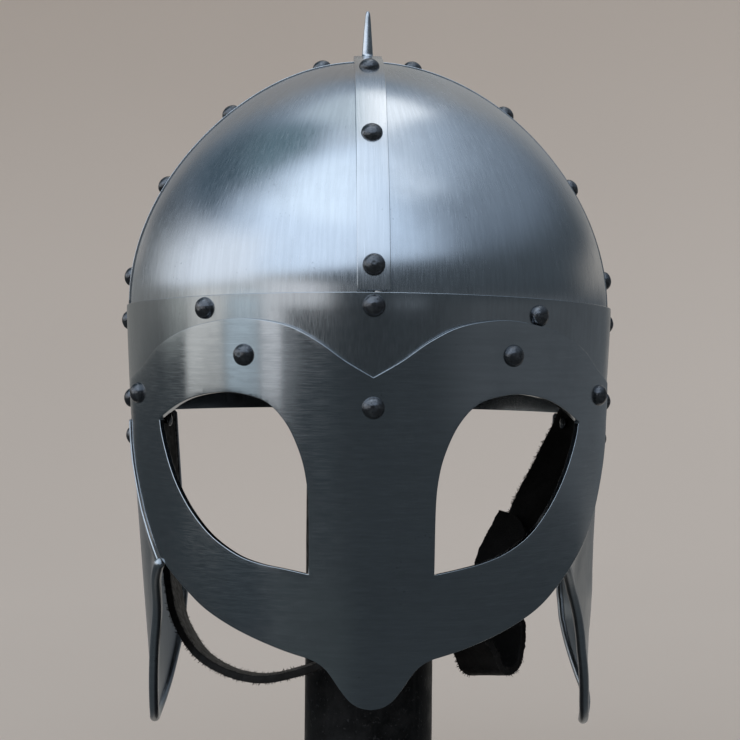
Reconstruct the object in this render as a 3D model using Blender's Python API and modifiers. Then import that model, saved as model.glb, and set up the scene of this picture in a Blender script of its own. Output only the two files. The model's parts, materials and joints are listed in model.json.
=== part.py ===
"""Spectacle helmet of riveted steel plates, with hung cheek plates and a leather chin strap, on a post stand.

Run with: blender --background --python part.py
Lengths in the code are millimetres, and the scene is in metres. +Z is up and the face looks along -Y.
Helmet heights are measured from the brow datum, a level near the middle of the brow band, and angles
go round the crown axis from the front, positive towards +X.
"""

import math

import bmesh
import bpy
from mathutils import Matrix, Vector

MM = 0.001

# ---- Driving dimensions ----
DATUM_HEIGHT = 225.0  # brow datum above the floor
AXIS_Y = 11.3  # the crown axis stands this far behind the middle of the object
HALF_WIDTH = 105.5  # outside of the brow band
FRONT_LENGTH = 131.0  # crown axis to the front of the brow band
BACK_LENGTH = 109.0  # crown axis to the back of the brow band

PLATE = 1.6  # bowl and brow sheet
CHEEK_PLATE = 1.2
BAND = 2.0  # crest band, cross band and guard sheet
BAND_WIDTH = 12.2
GAP = 0.3  # clearance between neighbouring pieces
JOINT_HALF = 0.3  # half of the joint between two bowl plates
BOWL_INSET = 2.4  # outside of the brow band to the outside of the bowl plates
BAND_LIFT = 0.65  # bowl plates to the underside of the bands over their joints
STATION = 7.5  # degrees between the bends of a faceted wall
PATTERN_SCALE = 2.0  # millimetres of flat pattern for each degree

BROW_TOP = 20.5
BROW_BOTTOM = -26.5
BROW_PEAK = 2.4  # the band is this much taller over the nose
BROW_TAPER = 0.05  # lean of the wall, inwards for each millimetre down
NOTCH_ENDS = (16.0, 52.0)  # the band is cut back behind each eye between these angles
NOTCH_ROOM = 2.0  # eye opening to the cut behind it
BOWL_LAP = 12.0  # the bowl plates run this far down behind the brow band
BOWL_RISE = 106.35  # brow top to crown
CROWN_SHIFT = -1.4  # the hand-raised crown leans this far to the left
SHOULDER_DROP = 2.3  # halfway up, the bowl lies this far inside its ellipsoid
SHOULDER_LEAN = 0.5  # more of it on the left and less on the right
BOWL_ROWS = (0.0, 12.5, 22.5, 33.6, 45.0, 59.5, 71.5, 82.0, 90.0)  # degrees of rise, clear of the rivets
BAND_FOOT = 0.6  # brow band to the foot of a band
HUMP_HALF = 8.0  # the crest band runs flat over the cross band for this far each way
HUMP_LIFT = BAND_LIFT + BAND + 2 * GAP

RIVET_RADIUS = 4.3
RIVET_HEIGHT = 3.5
SHANK_RADIUS = 1.9
HOLE_RADIUS = 2.35
HOLE_STEPS = 6
HOLE_OVERRUN = 4.0
PEEN_RADIUS = 3.1
PEEN_HEIGHT = 1.1
SEAT_GAP = 0.2
LEAN_ROOM = {"hinge": 0.9, "strap": 1.7}  # extra length of a shank that passes leaning sheets
ROUND_STEPS = 7
SEAM_WELD = 0.00001

SPIKE_RADIUS = 2.5
SPIKE_HEIGHT = 20.0
SPIKE_TIP_RADIUS = 1.2
SPIKE_STEPS = 12

ROLL_RADIUS = 2.1  # rolled edge of a cheek plate
CHEEK_TOP = -27.4
CHEEK_LEAN = 0.085
CHEEK_PLUMB_BELOW = {-1: -155.0, 1: -122.0}
CHEEK_CORNER = -81.2
CHEEK_STATIONS = tuple(41.25 + 7.5 * i for i in range(12)) + (52.5, 60.0, 67.5, 75.0)
CHEEK_BENDS = (-165.0, -155.0, -138.0, -122.0, -104.0, -90.0, -81.2, -74.0, -67.0, -60.0, -52.0, -44.0, -32.0, -20.0)
GUARD_BENDS = (-135.0, -26.5, 16.0)
CHEEK_HOLD = 1.2  # degrees past the guard before a cheek plate starts to lean in
CHEEK_SETTLE = {-1: (9.5, 16.0), 1: (9.5, 9.5)}  # degrees that it takes to do so, high up and low down
CHEEK_SETTLE_HEIGHTS = (-76.0, -90.0)
CHEEK_FLARE = {-1: 0.0, 1: 7.5}  # the rear edge stands out by this much at the bottom
CHEEK_FLARE_ANGLES = (88.0, 108.0)
CHEEK_OVERLAP = 1.5  # degrees that a cheek plate passes the side edge of the guard
CHEEK_FRONT_OFFSET = {-1: 1.45, 1: -2.5}  # the left plate rides over the guard, the right one behind it
CHEEK_FRONT_FADE = {-1: (-81.2, -141.2), 1: (-58.0, -108.0)}  # the offset goes between these heights

STRAP_WIDTH = 25.0
STRAP_THICK = 3.0
TAB_WIDTH = 22.0
TAB_THICK = 2.0
TAB_HEIGHTS = (-9.0, -26.0, -32.0, -46.0)
LEATHER_FACE = -5.0  # outer face of the hung leather off the plan, inside the brow band
LEATHER_DROP = -5.6  # the same at the top of the cheek plates
HINGE_BROW_HEIGHT = -19.6
HINGES = {"hinge": (88.0, -36.0), "strap": (106.5, -31.0)}  # angle, height of the cheek rivet

BUCKLE_BAR = (62.5, 0.0, -97.0)  # middle of the bar that carries the short strap
BUCKLE_UP = (0.45, 0.40, 0.80)  # along the short strap, towards the cheek
BUCKLE_FRONT = (0.62, -0.78, 0.0)  # across the strap, towards the face
BUCKLE_SPAN = 16.0
BUCKLE_HALF_WIDTH = 15.0
BUCKLE_CORNER = 2.2
BUCKLE_WIRE_RADIUS = 1.5

POST_X = 1.5
POST_RADIUS = 28.2
POST_TOP = 119.8
BASE_RADIUS = 92.0
BASE_THICK = 9.0
EDGE_BREAK = 2.0
POST_STEPS = 28

# ---- Rivet places ----
CREST_RIVETS = (7.0, 37.0, 66.0)  # degrees of rise
CROSS_RIVETS = (7.0, 30.3, 54.0, 79.0)
BROW_RIVETS = (  # angle, height
    (0.0, 18.0),
    (36.9, 15.4),
    (-37.1, 17.2),
    (90.0, 14.5),
    (-90.0, 14.5),
    (142.5, 14.5),
    (-142.5, 14.5),
    (180.0, 14.5),
)
GUARD_RIVETS = (  # angle, height
    (0.0, -19.2),
    (29.4, 0.1),
    (-27.2, -0.3),
    (60.5, -15.4),
    (-60.8, -16.0),
)

# ---- Outlines of the right half, as smooth runs between corners: angle, height ----
GUARD_TOP_EDGE = (
    (0.0, -8.2),
    (5.5, -2.2),
    (11.2, 5.2),
    (17.6, 10.8),
    (26.5, 13.3),
    (34.5, 12.0),
    (43.0, 8.6),
    (52.0, 2.3),
    (59.0, -5.0),
    (67.5, -10.6),
)
GUARD_SIDE_EDGE = (
    (67.5, -10.6),
    (68.5, -20.0),
    (68.0, -32.0),
    (65.8, -43.0),
    (59.5, -61.5),
    (54.5, -72.0),
    (49.0, -80.6),
    (42.4, -89.6),
    (37.4, -95.4),
    (32.0, -99.9),
    (25.8, -104.1),
    (18.2, -108.4),
    (12.6, -111.0),
)
GUARD_NOSE_EDGE = (
    (12.6, -111.0),
    (10.6, -112.6),
    (8.6, -115.6),
    (6.0, -122.2),
    (4.1, -126.2),
    (2.1, -128.3),
    (0.0, -129.0),
)
EYE_TOP_EDGE = (
    (51.0, -25.6),
    (44.5, -20.0),
    (38.3, -16.1),
    (31.0, -14.3),
    (24.6, -15.8),
    (20.6, -19.2),
    (17.2, -26.4),
    (14.7, -36.0),
    (13.4, -45.0),
    (12.8, -56.0),
    (12.6, -80.2),
)
EYE_BOTTOM_EDGE = (
    (12.6, -80.2),
    (17.7, -78.6),
    (23.2, -76.6),
    (29.0, -73.2),
    (34.8, -67.4),
    (39.8, -59.2),
    (44.0, -50.1),
    (47.3, -41.2),
    (49.9, -32.0),
    (51.0, -25.6),
)
LEFT_EYE_SPREAD = 1.0  # degrees that its outer edge stands further out
LEFT_EYE_DROP = 1.0
LEFT_EYE_OUTSIDE = (30.0, 45.0)  # the spread comes in between these angles
LEFT_EYE_BELOW = (16.0, 28.0)  # the drop comes in between these angles
LEFT_EYE_DROP_HEIGHTS = (-30.0, -50.0)  # and between these heights
CHEEK_ROLL_EDGE = (  # from the front corner round the tip and up the rear edge
    (49.8, -81.2),
    (56.5, -91.5),
    (63.3, -105.0),
    (68.6, -120.0),
    (74.5, -138.0),
    (79.5, -151.5),
    (84.5, -157.8),
    (91.0, -158.4),
    (98.0, -154.8),
    (105.5, -147.0),
    (112.5, -133.0),
    (116.5, -117.0),
    (117.5, -100.0),
    (117.5, -28.0),
)

# ---- Strap routes below the rivets: x, y from the crown axis, height, turn of the width from -Y, tilt ----
LONG_STRAP_TOP = (-12.0, -24.0, -33.0, -45.0)
SHORT_STRAP_TOP = (-12.0, -18.0, -24.0)
LONG_STRAP = (
    (-91.2, 25.5, -57.0, -11.0, 0.0),
    (-89.8, 21.0, -69.0, -9.0, 0.0),
    (-88.0, 14.0, -83.0, -6.0, 0.0),
    (-85.5, 2.0, -101.0, -2.0, 0.0),
    (-80.3, -11.0, -115.8, 0.0, 2.0),
    (-71.0, -23.0, -127.2, 0.0, 6.0),
    (-58.0, -33.0, -133.6, 0.0, 8.0),
    (-43.0, -39.5, -135.3, 0.0, 8.0),
    (-27.0, -43.0, -131.6, 0.0, 8.0),
    (-10.0, -43.6, -125.4, 0.0, 8.0),
    (7.0, -42.4, -119.8, 4.0, 7.0),
    (21.0, -38.6, -116.6, 12.0, 6.0),
    (32.0, -32.4, -116.6, 22.0, 6.0),
    (41.5, -25.8, -119.5, 32.0, 8.0),
    (46.6, -21.0, -127.0, 38.5, 9.0),
    (49.7, -18.8, -134.2, 38.5, 9.0),
    (53.9, -15.4, -136.9, 38.5, 9.0),
    (57.8, -12.0, -134.2, 38.5, 8.0),
    (59.8, -9.6, -127.0, 38.5, 4.0),
    (60.2, -7.4, -118.6, 38.5, 0.0),
)
LONG_STRAP_IN_BUCKLE = (  # along the strap from the carrying bar, off its plane towards the head, to the front
    (-16.0, -4.0, 0.0),
    (-11.3, -1.9, 0.0),
    (-7.5, 2.6, 0.0),
    (-4.0, 5.8, -0.6),
    (0.5, 7.2, -1.0),
    (9.0, 7.6, -2.2),
    (26.5, 8.2, -1.0),
)
SHORT_STRAP = (
    (93.4, 28.5, -30.0, 20.0, 0.0),
    (91.5, 27.2, -36.0, 28.0, 0.0),
    (89.0, 24.9, -42.0, 34.0, 0.0),
    (86.0, 21.8, -48.5, 37.0, 0.0),
    (81.7, 17.7, -56.0, 38.0, 0.0),
    (77.6, 14.0, -63.0, 39.0, 0.0),
)
SHORT_STRAP_ROUND_BAR = (
    (26.0, 3.4, 0.0),
    (12.0, 3.4, 0.0),
    (0.0, 3.4, 0.0),
    (-2.4, 2.4, 0.0),
    (-3.4, 0.0, 0.0),
    (-2.4, -2.4, 0.0),
    (0.0, -3.4, 0.0),
    (8.0, -3.4, 0.0),
    (18.0, -3.4, 0.0),
)


def clear_scene():
    for obj in list(bpy.data.objects):
        bpy.data.objects.remove(obj)


def make_collection(name):
    collection = bpy.data.collections.new(name)
    bpy.context.scene.collection.children.link(collection)
    return collection


def make_material(name, colour, roughness, metallic):
    material = bpy.data.materials.new(name)
    material.use_nodes = True
    shader = material.node_tree.nodes["Principled BSDF"]
    shader.inputs["Base Color"].default_value = (*colour, 1.0)
    shader.inputs["Roughness"].default_value = roughness
    shader.inputs["Metallic"].default_value = metallic
    return material


def add_object(name, mesh, material):
    """Links a helmet piece, in the helmet's own frame, under the helmet_axis empty."""
    obj = bpy.data.objects.new(name, mesh)
    PARTS.objects.link(obj)
    obj.parent = HELMET_AXIS
    mesh.materials.append(material)
    return obj


def add_cutter(name, mesh):
    obj = bpy.data.objects.new(name, mesh)
    CUTTERS.objects.link(obj)
    obj.hide_render = True
    obj.display_type = "WIRE"
    return obj


# ---- Helmet surfaces, all in millimetres ----


def plan_point(angle, offset):
    """A point of the egg-shaped plan, moved outwards by offset, and the outward direction there."""
    turn = math.radians(angle)
    length = FRONT_LENGTH if math.cos(turn) > 0 else BACK_LENGTH
    outward = Vector((math.sin(turn) / HALF_WIDTH, -math.cos(turn) / length, 0.0)).normalized()
    point = Vector((HALF_WIDTH * math.sin(turn), -length * math.cos(turn), 0.0))
    return point + outward * offset, outward


def wall_point(angle, height, offset):
    """A point of the leaning brow wall. Below the brow band the wall is plumb."""
    below = min(max(BROW_TOP - height, 0.0), BROW_TOP - BROW_BOTTOM)
    point, _ = plan_point(angle, offset - BROW_TAPER * below)
    point.z = height
    return point


def dome_point(angle, rise, offset):
    """A point of the bowl, moved along its normal by offset."""
    turn = math.radians(angle)
    climb = math.radians(rise)
    width = HALF_WIDTH - BOWL_INSET
    length = (FRONT_LENGTH if math.cos(turn) > 0 else BACK_LENGTH) - BOWL_INSET
    x = width * math.sin(turn) * math.cos(climb)
    y = -length * math.cos(turn) * math.cos(climb)
    z = BOWL_RISE * math.sin(climb)
    normal = Vector((x / width**2, y / length**2, z / BOWL_RISE**2)).normalized()
    drop = (SHOULDER_DROP - SHOULDER_LEAN * math.sin(turn)) * math.sin(2 * climb) ** 2
    return Vector((x + CROWN_SHIFT * math.sin(climb), y, z + BROW_TOP)) + normal * (offset - drop)


def on_facet(angle, point_at, bends=None):
    """A point on the flat between the two bends beside this angle."""
    low = STATION * (math.floor(angle / STATION - 0.5) + 0.5)
    high = low + STATION
    if bends:
        low = max(bend for bend in bends if bend <= angle)
        high = min(bend for bend in bends if bend > low)
    return point_at(low).lerp(point_at(high), (angle - low) / (high - low))


def facet_seat(angle, height, point_at):
    """The same for a rivet, with the outward direction of the flat. point_at takes an angle and a height."""
    seat = on_facet(angle, lambda at: point_at(at, height))
    above = on_facet(angle, lambda at: point_at(at, height + 1.0))
    aside = on_facet(angle + 1.0, lambda at: point_at(at, height))
    outward = (aside - seat).cross(above - seat).normalized()
    return seat, outward if outward.dot(seat) > 0 else -outward


def on_band(angle, rise):
    """A point on the flat of a band between two rows of the bowl, and the outward direction there."""
    rises = band_rises(angle)
    for low, high in zip(rises, rises[1:]):
        if low <= rise <= high:
            first, second = (dome_point(angle, row, BAND_LIFT + BAND) for row in (low, high))
            point = first.lerp(second, (rise - low) / (high - low))
            along = second - first
            sideways = Vector((math.cos(math.radians(angle)), math.sin(math.radians(angle)), 0.0))
            return point, sideways.cross(along).normalized()


def brow_top(angle):
    return BROW_TOP + BROW_PEAK * max(math.cos(math.radians(angle)), 0.0) ** 2


def band_rises(angle):
    """The rows of the bowl from just above the brow band to the crown."""
    start = math.degrees(math.asin((brow_top(angle) + BAND_FOOT - BROW_TOP) / BOWL_RISE))
    return [start] + [rise for rise in BOWL_ROWS if rise > start]


def brow_bottom(angle):
    """Height of the band's lower edge, which is cut back behind the eyes and hidden by the guard."""
    turn = abs((angle + 180.0) % 360.0 - 180.0)
    if not NOTCH_ENDS[0] < turn < NOTCH_ENDS[1]:
        return BROW_BOTTOM
    table = sorted(point for point in EYE_TOP_EDGE if point[1] > BROW_BOTTOM)
    return interpolate(table, turn) + NOTCH_ROOM


def smooth_run(points, steps):
    """Points on a Catmull-Rom curve through the given ones, without the last of them."""
    knots = [Vector(point) for point in points]
    knots.insert(0, 2 * knots[0] - knots[1])
    knots.append(2 * knots[-1] - knots[-2])
    run = []
    for a, b, c, d in zip(knots, knots[1:], knots[2:], knots[3:]):
        for step in range(steps):
            t = step / steps
            point = 2 * b + (c - a) * t
            point += (2 * a - 5 * b + 4 * c - d) * t**2
            point += (3 * b - 3 * c + d - a) * t**3
            run.append(0.5 * point)
    return run


def interpolate(table, value):
    """Linear reading of (height, angle) pairs sorted by height."""
    for (low, first), (high, second) in zip(table, table[1:]):
        if low <= value <= high:
            return first + (second - first) * (value - low) / (high - low)
    return table[0][1] if value < table[0][0] else table[-1][1]


def ease(t):
    """0 to 1 with a level start and end."""
    t = min(max(t, 0.0), 1.0)
    return t * t * (3.0 - 2.0 * t)


def share(value, ends):
    """How far value is from the first of the two ends to the second, as a share."""
    first, last = ends
    return (value - first) / (last - first)


def guard_side_angle(height):
    """Angle of the guard's side edge, held below the cheek plate's front corner."""
    table = sorted((point[1], point[0]) for point in GUARD_SIDE_EDGE)
    return interpolate(table, max(height, CHEEK_CORNER))


def cheek_offset(side, angle, height):
    """Outer face of a cheek plate off the plan, flatter than the brow and leaning in as it goes down."""
    lean = BROW_TAPER * (BROW_TOP - BROW_BOTTOM)
    lean += CHEEK_LEAN * (CHEEK_TOP - max(height, CHEEK_PLUMB_BELOW[side]))
    front = CHEEK_FRONT_OFFSET[side]
    front += (-lean - front) * min(max(share(height, CHEEK_FRONT_FADE[side]), 0.0), 1.0)
    quick, slow = CHEEK_SETTLE[side]
    settle = quick + (slow - quick) * ease(share(height, CHEEK_SETTLE_HEIGHTS))
    t = (angle - guard_side_angle(height) - CHEEK_HOLD) / settle
    down = share(height, (CHEEK_TOP, CHEEK_PLUMB_BELOW[side]))
    flare = CHEEK_FLARE[side] * ease(share(angle, CHEEK_FLARE_ANGLES)) * ease(down)
    return front + (-lean - front) * ease(t) + flare


def cheek_point(side, angle, height, up=0.0):
    """A point of the cheek plate's outer face, moved outwards by up."""
    point, _ = plan_point(angle, cheek_offset(side, angle, height) + up)
    return Vector((side * point.x, point.y, height))


# ---- Building tools ----


def grid_mesh(name, rows, wrap=False, cap=None):
    """An open surface through rows of points, closed round if wrap, with a fan to the cap point."""
    mesh = bpy.data.meshes.new(name)
    bm = bmesh.new()
    grid = [[bm.verts.new(point * MM) for point in row] for row in rows]
    for low, high in zip(grid, grid[1:]):
        count = len(low) if wrap else len(low) - 1
        for i in range(count):
            j = (i + 1) % len(low)
            bm.faces.new((low[i], low[j], high[j], high[i]))
    if cap is not None:
        top = bm.verts.new(cap * MM)
        for i in range(len(grid[-1]) - 1):
            bm.faces.new((grid[-1][i], grid[-1][i + 1], top))
    bm.normal_update()
    outward = sum(face.normal.dot(face.calc_center_median()) for face in bm.faces)
    if outward < 0:
        bmesh.ops.reverse_faces(bm, faces=bm.faces)
    bm.to_mesh(mesh)
    bm.free()
    return mesh


def thicken(obj, thickness, offset):
    """Solidify: offset 1 grows outwards from the surface, -1 inwards, 0 both ways."""
    solid = obj.modifiers.new("Sheet", "SOLIDIFY")
    solid.thickness = thickness * MM
    solid.offset = offset
    solid.use_even_offset = True


def drill(obj):
    holes = obj.modifiers.new("Rivet holes", "BOOLEAN")
    holes.operation = "DIFFERENCE"
    holes.object = bpy.data.objects["rivet_holes"]


def turned_mesh(name, profile, steps):
    """A solid of revolution about Z from a profile that runs top to bottom down its outer side."""
    mesh = bpy.data.meshes.new(name + "_profile")
    points = [(radius * MM, 0.0, height * MM) for radius, height in profile]
    edges = [(i, i + 1) for i in range(len(points) - 1)]
    mesh.from_pydata(points, edges, [])
    helper = add_cutter(name + "_profile", mesh)
    screw = helper.modifiers.new("Turn", "SCREW")
    screw.steps = steps
    screw.render_steps = steps
    screw.use_merge_vertices = True
    screw.merge_threshold = 0.00001
    return take_mesh(helper, name)


def take_mesh(helper, name):
    """The evaluated mesh of a helper object, which is then removed."""
    bpy.context.view_layer.update()
    graph = bpy.context.evaluated_depsgraph_get()
    mesh = bpy.data.meshes.new_from_object(helper.evaluated_get(graph))
    mesh.name = name
    bpy.data.objects.remove(helper)
    return mesh


def tidy_mesh(mesh):
    """Joins the seams that a curve leaves at its caps and turns every face outwards."""
    bm = bmesh.new()
    bm.from_mesh(mesh)
    bmesh.ops.remove_doubles(bm, verts=bm.verts, dist=SEAM_WELD)
    bmesh.ops.recalc_face_normals(bm, faces=bm.faces)
    bm.to_mesh(mesh)
    bm.free()


def outline_mesh(name, outlines, depth, z_middle):
    """A flat shape with holes, as an extruded 2D curve turned into a mesh."""
    curve = bpy.data.curves.new(name, "CURVE")
    curve.dimensions = "2D"
    curve.fill_mode = "BOTH"
    curve.extrude = depth / 2 * MM
    for outline in outlines:
        spline = curve.splines.new("POLY")
        spline.points.add(len(outline) - 1)
        for knot, point in zip(spline.points, outline):
            knot.co = (point[0] * MM, point[1] * MM, 0.0, 1.0)
        spline.use_cyclic_u = True
    helper = bpy.data.objects.new(name, curve)
    CUTTERS.objects.link(helper)
    mesh = take_mesh(helper, name)
    tidy_mesh(mesh)
    mesh.transform(Matrix.Translation((0.0, 0.0, z_middle * MM)))
    return mesh


def flat_slab(name, angles, heights, thickness):
    """A flat slab with bending lines at the given angles and heights: x is 2 mm for each degree."""
    bm = bmesh.new()
    across = [PATTERN_SCALE * angle * MM for angle in angles]
    grid = [[bm.verts.new((x, height * MM, 0.0)) for x in across] for height in heights]
    for low, high in zip(grid, grid[1:]):
        for i in range(len(low) - 1):
            bm.faces.new((low[i], low[i + 1], high[i + 1], high[i]))
    top = bmesh.ops.extrude_face_region(bm, geom=list(bm.faces))["geom"]
    raised = [item for item in top if isinstance(item, bmesh.types.BMVert)]
    bmesh.ops.translate(bm, verts=raised, vec=(0.0, 0.0, thickness * MM))
    bmesh.ops.recalc_face_normals(bm, faces=bm.faces)
    mesh = bpy.data.meshes.new(name)
    bm.to_mesh(mesh)
    bm.free()
    return mesh


def cut_and_bend(name, angles, heights, thickness, outlines, bend):
    """A sheet cut flat to its outlines, as a smith cuts it, and then bent by the given rule."""
    slab = add_cutter(name + "_slab", flat_slab(name + "_slab", angles, heights, thickness))
    flat_outlines = [[(PATTERN_SCALE * point[0], point[1]) for point in outline] for outline in outlines]
    shape_mesh = outline_mesh(name + "_outline", flat_outlines, 4 * thickness, thickness / 2)
    shape = add_cutter(name + "_outline", shape_mesh)
    trim = slab.modifiers.new("Outline", "BOOLEAN")
    trim.operation = "INTERSECT"
    trim.object = shape
    mesh = take_mesh(slab, name)
    bpy.data.objects.remove(shape)
    for vertex in mesh.vertices:
        angle, height, up = vertex.co.x / MM / PATTERN_SCALE, vertex.co.y / MM, vertex.co.z / MM
        vertex.co = bend(angle, height, up) * MM
    tidy_mesh(mesh)
    return mesh


def tube_mesh(name, points, radius, closed):
    """A round wire through the points, as a curve with a bevel turned into a mesh."""
    curve = bpy.data.curves.new(name, "CURVE")
    curve.dimensions = "3D"
    curve.bevel_depth = radius * MM
    curve.bevel_resolution = 1
    curve.use_fill_caps = True
    spline = curve.splines.new("POLY")
    spline.points.add(len(points) - 1)
    for knot, point in zip(spline.points, points):
        knot.co = (*(point * MM), 1.0)
    spline.use_cyclic_u = closed
    helper = bpy.data.objects.new(name, curve)
    CUTTERS.objects.link(helper)
    mesh = take_mesh(helper, name)
    tidy_mesh(mesh)
    return mesh


def ribbon_mesh(name, centres, acrosses, width):
    """A strap surface: centre points with the direction of the width at each of them."""
    rows = [[], []]
    for i, centre in enumerate(centres):
        along = (centres[min(i + 1, len(centres) - 1)] - centres[max(i - 1, 0)]).normalized()
        across = acrosses[i] - acrosses[i].dot(along) * along
        across.normalize()
        rows[0].append(centre - across * width / 2)
        rows[1].append(centre + across * width / 2)
    return grid_mesh(name, rows)


# ---- Pieces ----


def leather_face(height):
    """Outer face of the hung leather off the plan, behind the brow band and the cheek plate."""
    if height >= TAB_HEIGHTS[1]:
        return LEATHER_FACE
    return LEATHER_DROP - CHEEK_LEAN * max(CHEEK_TOP - height, 0.0)


def rivet_places():
    """(name, seat point, outward normal, grip) for every rivet: the grip is what its shank passes through."""
    places = []
    crown_grip = BAND + BAND_LIFT + PLATE
    for number, rise in enumerate(CREST_RIVETS, 1):
        for end, angle in (("front", 0.0), ("back", 180.0)):
            places.append((f"rivet_crest_{end}_{number}", *on_band(angle, rise), crown_grip))
    for number, rise in enumerate(CROSS_RIVETS, 1):
        for end, angle in (("left", -90.0), ("right", 90.0)):
            places.append((f"rivet_cross_{end}_{number}", *on_band(angle, rise), crown_grip))
    for number, (angle, height) in enumerate(BROW_RIVETS, 1):
        seat = facet_seat(angle, height, lambda at, level: wall_point(at, level, 0.0))
        places.append((f"rivet_brow_{number}", *seat, BOWL_INSET + PLATE))
    for number, (angle, height) in enumerate(GUARD_RIVETS, 1):
        seat = facet_seat(angle, height, lambda at, level: wall_point(at, level, GAP + BAND))
        places.append((f"rivet_guard_{number}", *seat, BAND + GAP + PLATE))
    for side, end in ((-1, "left"), (1, "right")):
        for kind, (angle, cheek_height) in HINGES.items():
            leather = STRAP_THICK if kind == "strap" else TAB_THICK
            seat = facet_seat(side * angle, HINGE_BROW_HEIGHT, lambda at, level: wall_point(at, level, 0.0))
            face = -BROW_TAPER * (BROW_TOP - HINGE_BROW_HEIGHT)
            grip = face - leather_face(HINGE_BROW_HEIGHT) + leather
            places.append((f"rivet_{kind}_{end}_brow", *seat, grip))
            seat = facet_seat(side * angle, cheek_height, lambda at, level: cheek_point(side, side * at, level))
            grip = cheek_offset(side, angle, cheek_height) - leather_face(cheek_height)
            grip += leather + LEAN_ROOM[kind]
            places.append((f"rivet_{kind}_{end}_cheek", *seat, grip))
    return places


def make_rivet_holes(places):
    """One cutter with a short bar at every rivet."""
    bm = bmesh.new()
    for _, seat, normal, grip in places:
        new = bmesh.ops.create_cone(
            bm,
            cap_ends=True,
            segments=HOLE_STEPS,
            radius1=HOLE_RADIUS * MM,
            radius2=HOLE_RADIUS * MM,
            depth=(grip + 2 * HOLE_OVERRUN) * MM,
        )["verts"]
        bmesh.ops.rotate(bm, verts=new, matrix=normal.to_track_quat("Z", "X").to_matrix())
        bmesh.ops.translate(bm, verts=new, vec=(seat - normal * (grip / 2)) * MM)
    mesh = bpy.data.meshes.new("rivet_holes")
    bm.to_mesh(mesh)
    bm.free()
    add_cutter("rivet_holes", mesh).parent = HELMET_AXIS


def make_rivets(places, material):
    for name, seat, normal, grip in places:
        end = -grip - 2 * SEAT_GAP
        profile = (
            (0.0, RIVET_HEIGHT),
            (0.66 * RIVET_RADIUS, 0.74 * RIVET_HEIGHT),
            (RIVET_RADIUS, 0.0),
            (SHANK_RADIUS, 0.0),
            (SHANK_RADIUS, end),
            (PEEN_RADIUS, end),
            (0.0, end - PEEN_HEIGHT),
        )
        rivet = add_object(name, turned_mesh(name, profile, ROUND_STEPS), material)
        rivet.location = (seat + normal * SEAT_GAP) * MM
        rivet.rotation_mode = "QUATERNION"
        rivet.rotation_quaternion = normal.to_track_quat("Z", "X")


def make_bowl(material):
    """Four plates that meet under the bands, each moved outwards by half of the joint."""
    for name, first in (("front_right", 0), ("back_right", 90), ("back_left", 180), ("front_left", 270)):
        middle = math.radians(first + 45.0)
        shift = Vector((math.copysign(JOINT_HALF, math.sin(middle)), math.copysign(JOINT_HALF, -math.cos(middle)), 0.0))
        angles = [first] + [first + STATION * (i + 0.5) for i in range(round(90 / STATION))] + [first + 90]
        foot = BROW_TOP - BOWL_LAP
        rows = [[on_facet(at, lambda to: wall_point(to, foot, -BOWL_INSET)) + shift for at in angles]]
        for rise in BOWL_ROWS[:-1]:
            rows.append([on_facet(at, lambda to: dome_point(to, rise, 0.0)) + shift for at in angles])
        crown = dome_point(first + 45.0, BOWL_ROWS[-1], 0.0) + shift
        plate = add_object("bowl_plate_" + name, grid_mesh(name, rows, cap=crown), material)
        thicken(plate, PLATE, -1)
        drill(plate)


def make_brow_band(material):
    angles = [STATION * (i + 0.5) for i in range(round(360 / STATION))]
    low = [wall_point(angle, brow_bottom(angle), 0.0) for angle in angles]
    high = [wall_point(angle, brow_top(angle), 0.0) for angle in angles]
    band = add_object("brow_band", grid_mesh("brow_band", [low, high], wrap=True), material)
    thicken(band, PLATE, -1)
    drill(band)


def make_band(name, angle, stations, material):
    """A flat strip over the bowl, from the front or left over the crown: stations are (rise, lift) pairs."""
    middles = []
    for end in (angle, angle + 180.0):
        half = [dome_point(end, rise, lift) for rise, lift in stations[end]]
        middles += half if end == angle else half[::-1]
    if (middles[len(stations[angle])] - middles[len(stations[angle]) - 1]).length < GAP:
        middles.pop(len(stations[angle]))
    sideways = Vector((math.cos(math.radians(angle)), math.sin(math.radians(angle)), 0.0)) * (BAND_WIDTH / 2)
    rows = [[middle - sideways for middle in middles], [middle + sideways for middle in middles]]
    band = add_object(name, grid_mesh(name, rows), material)
    thicken(band, BAND, 1)
    drill(band)


def hump_rise(angle):
    length = (FRONT_LENGTH if angle == 0.0 else BACK_LENGTH) - BOWL_INSET
    return math.degrees(math.acos(HUMP_HALF / length))


def make_bands(material):
    """The crest band from front to back steps up over the cross band."""
    crest = {}
    for angle in (0.0, 180.0):
        crest[angle] = [(rise, BAND_LIFT) for rise in band_rises(angle)[:-1]]
        crest[angle].append((hump_rise(angle), HUMP_LIFT))
    make_band("crest_band", 0.0, crest, material)
    cross = {angle: [(rise, BAND_LIFT) for rise in band_rises(angle)] for angle in (-90.0, 90.0)}
    make_band("cross_band", -90.0, cross, material)


def left_eye_point(angle, height):
    """The left eye is cut a little larger than the right one, at its outer and lower edge."""
    outwards = LEFT_EYE_SPREAD * ease(share(angle, LEFT_EYE_OUTSIDE))
    down = LEFT_EYE_DROP * ease(share(angle, LEFT_EYE_BELOW)) * ease(share(height, LEFT_EYE_DROP_HEIGHTS))
    return -angle - outwards, height - down


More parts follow.
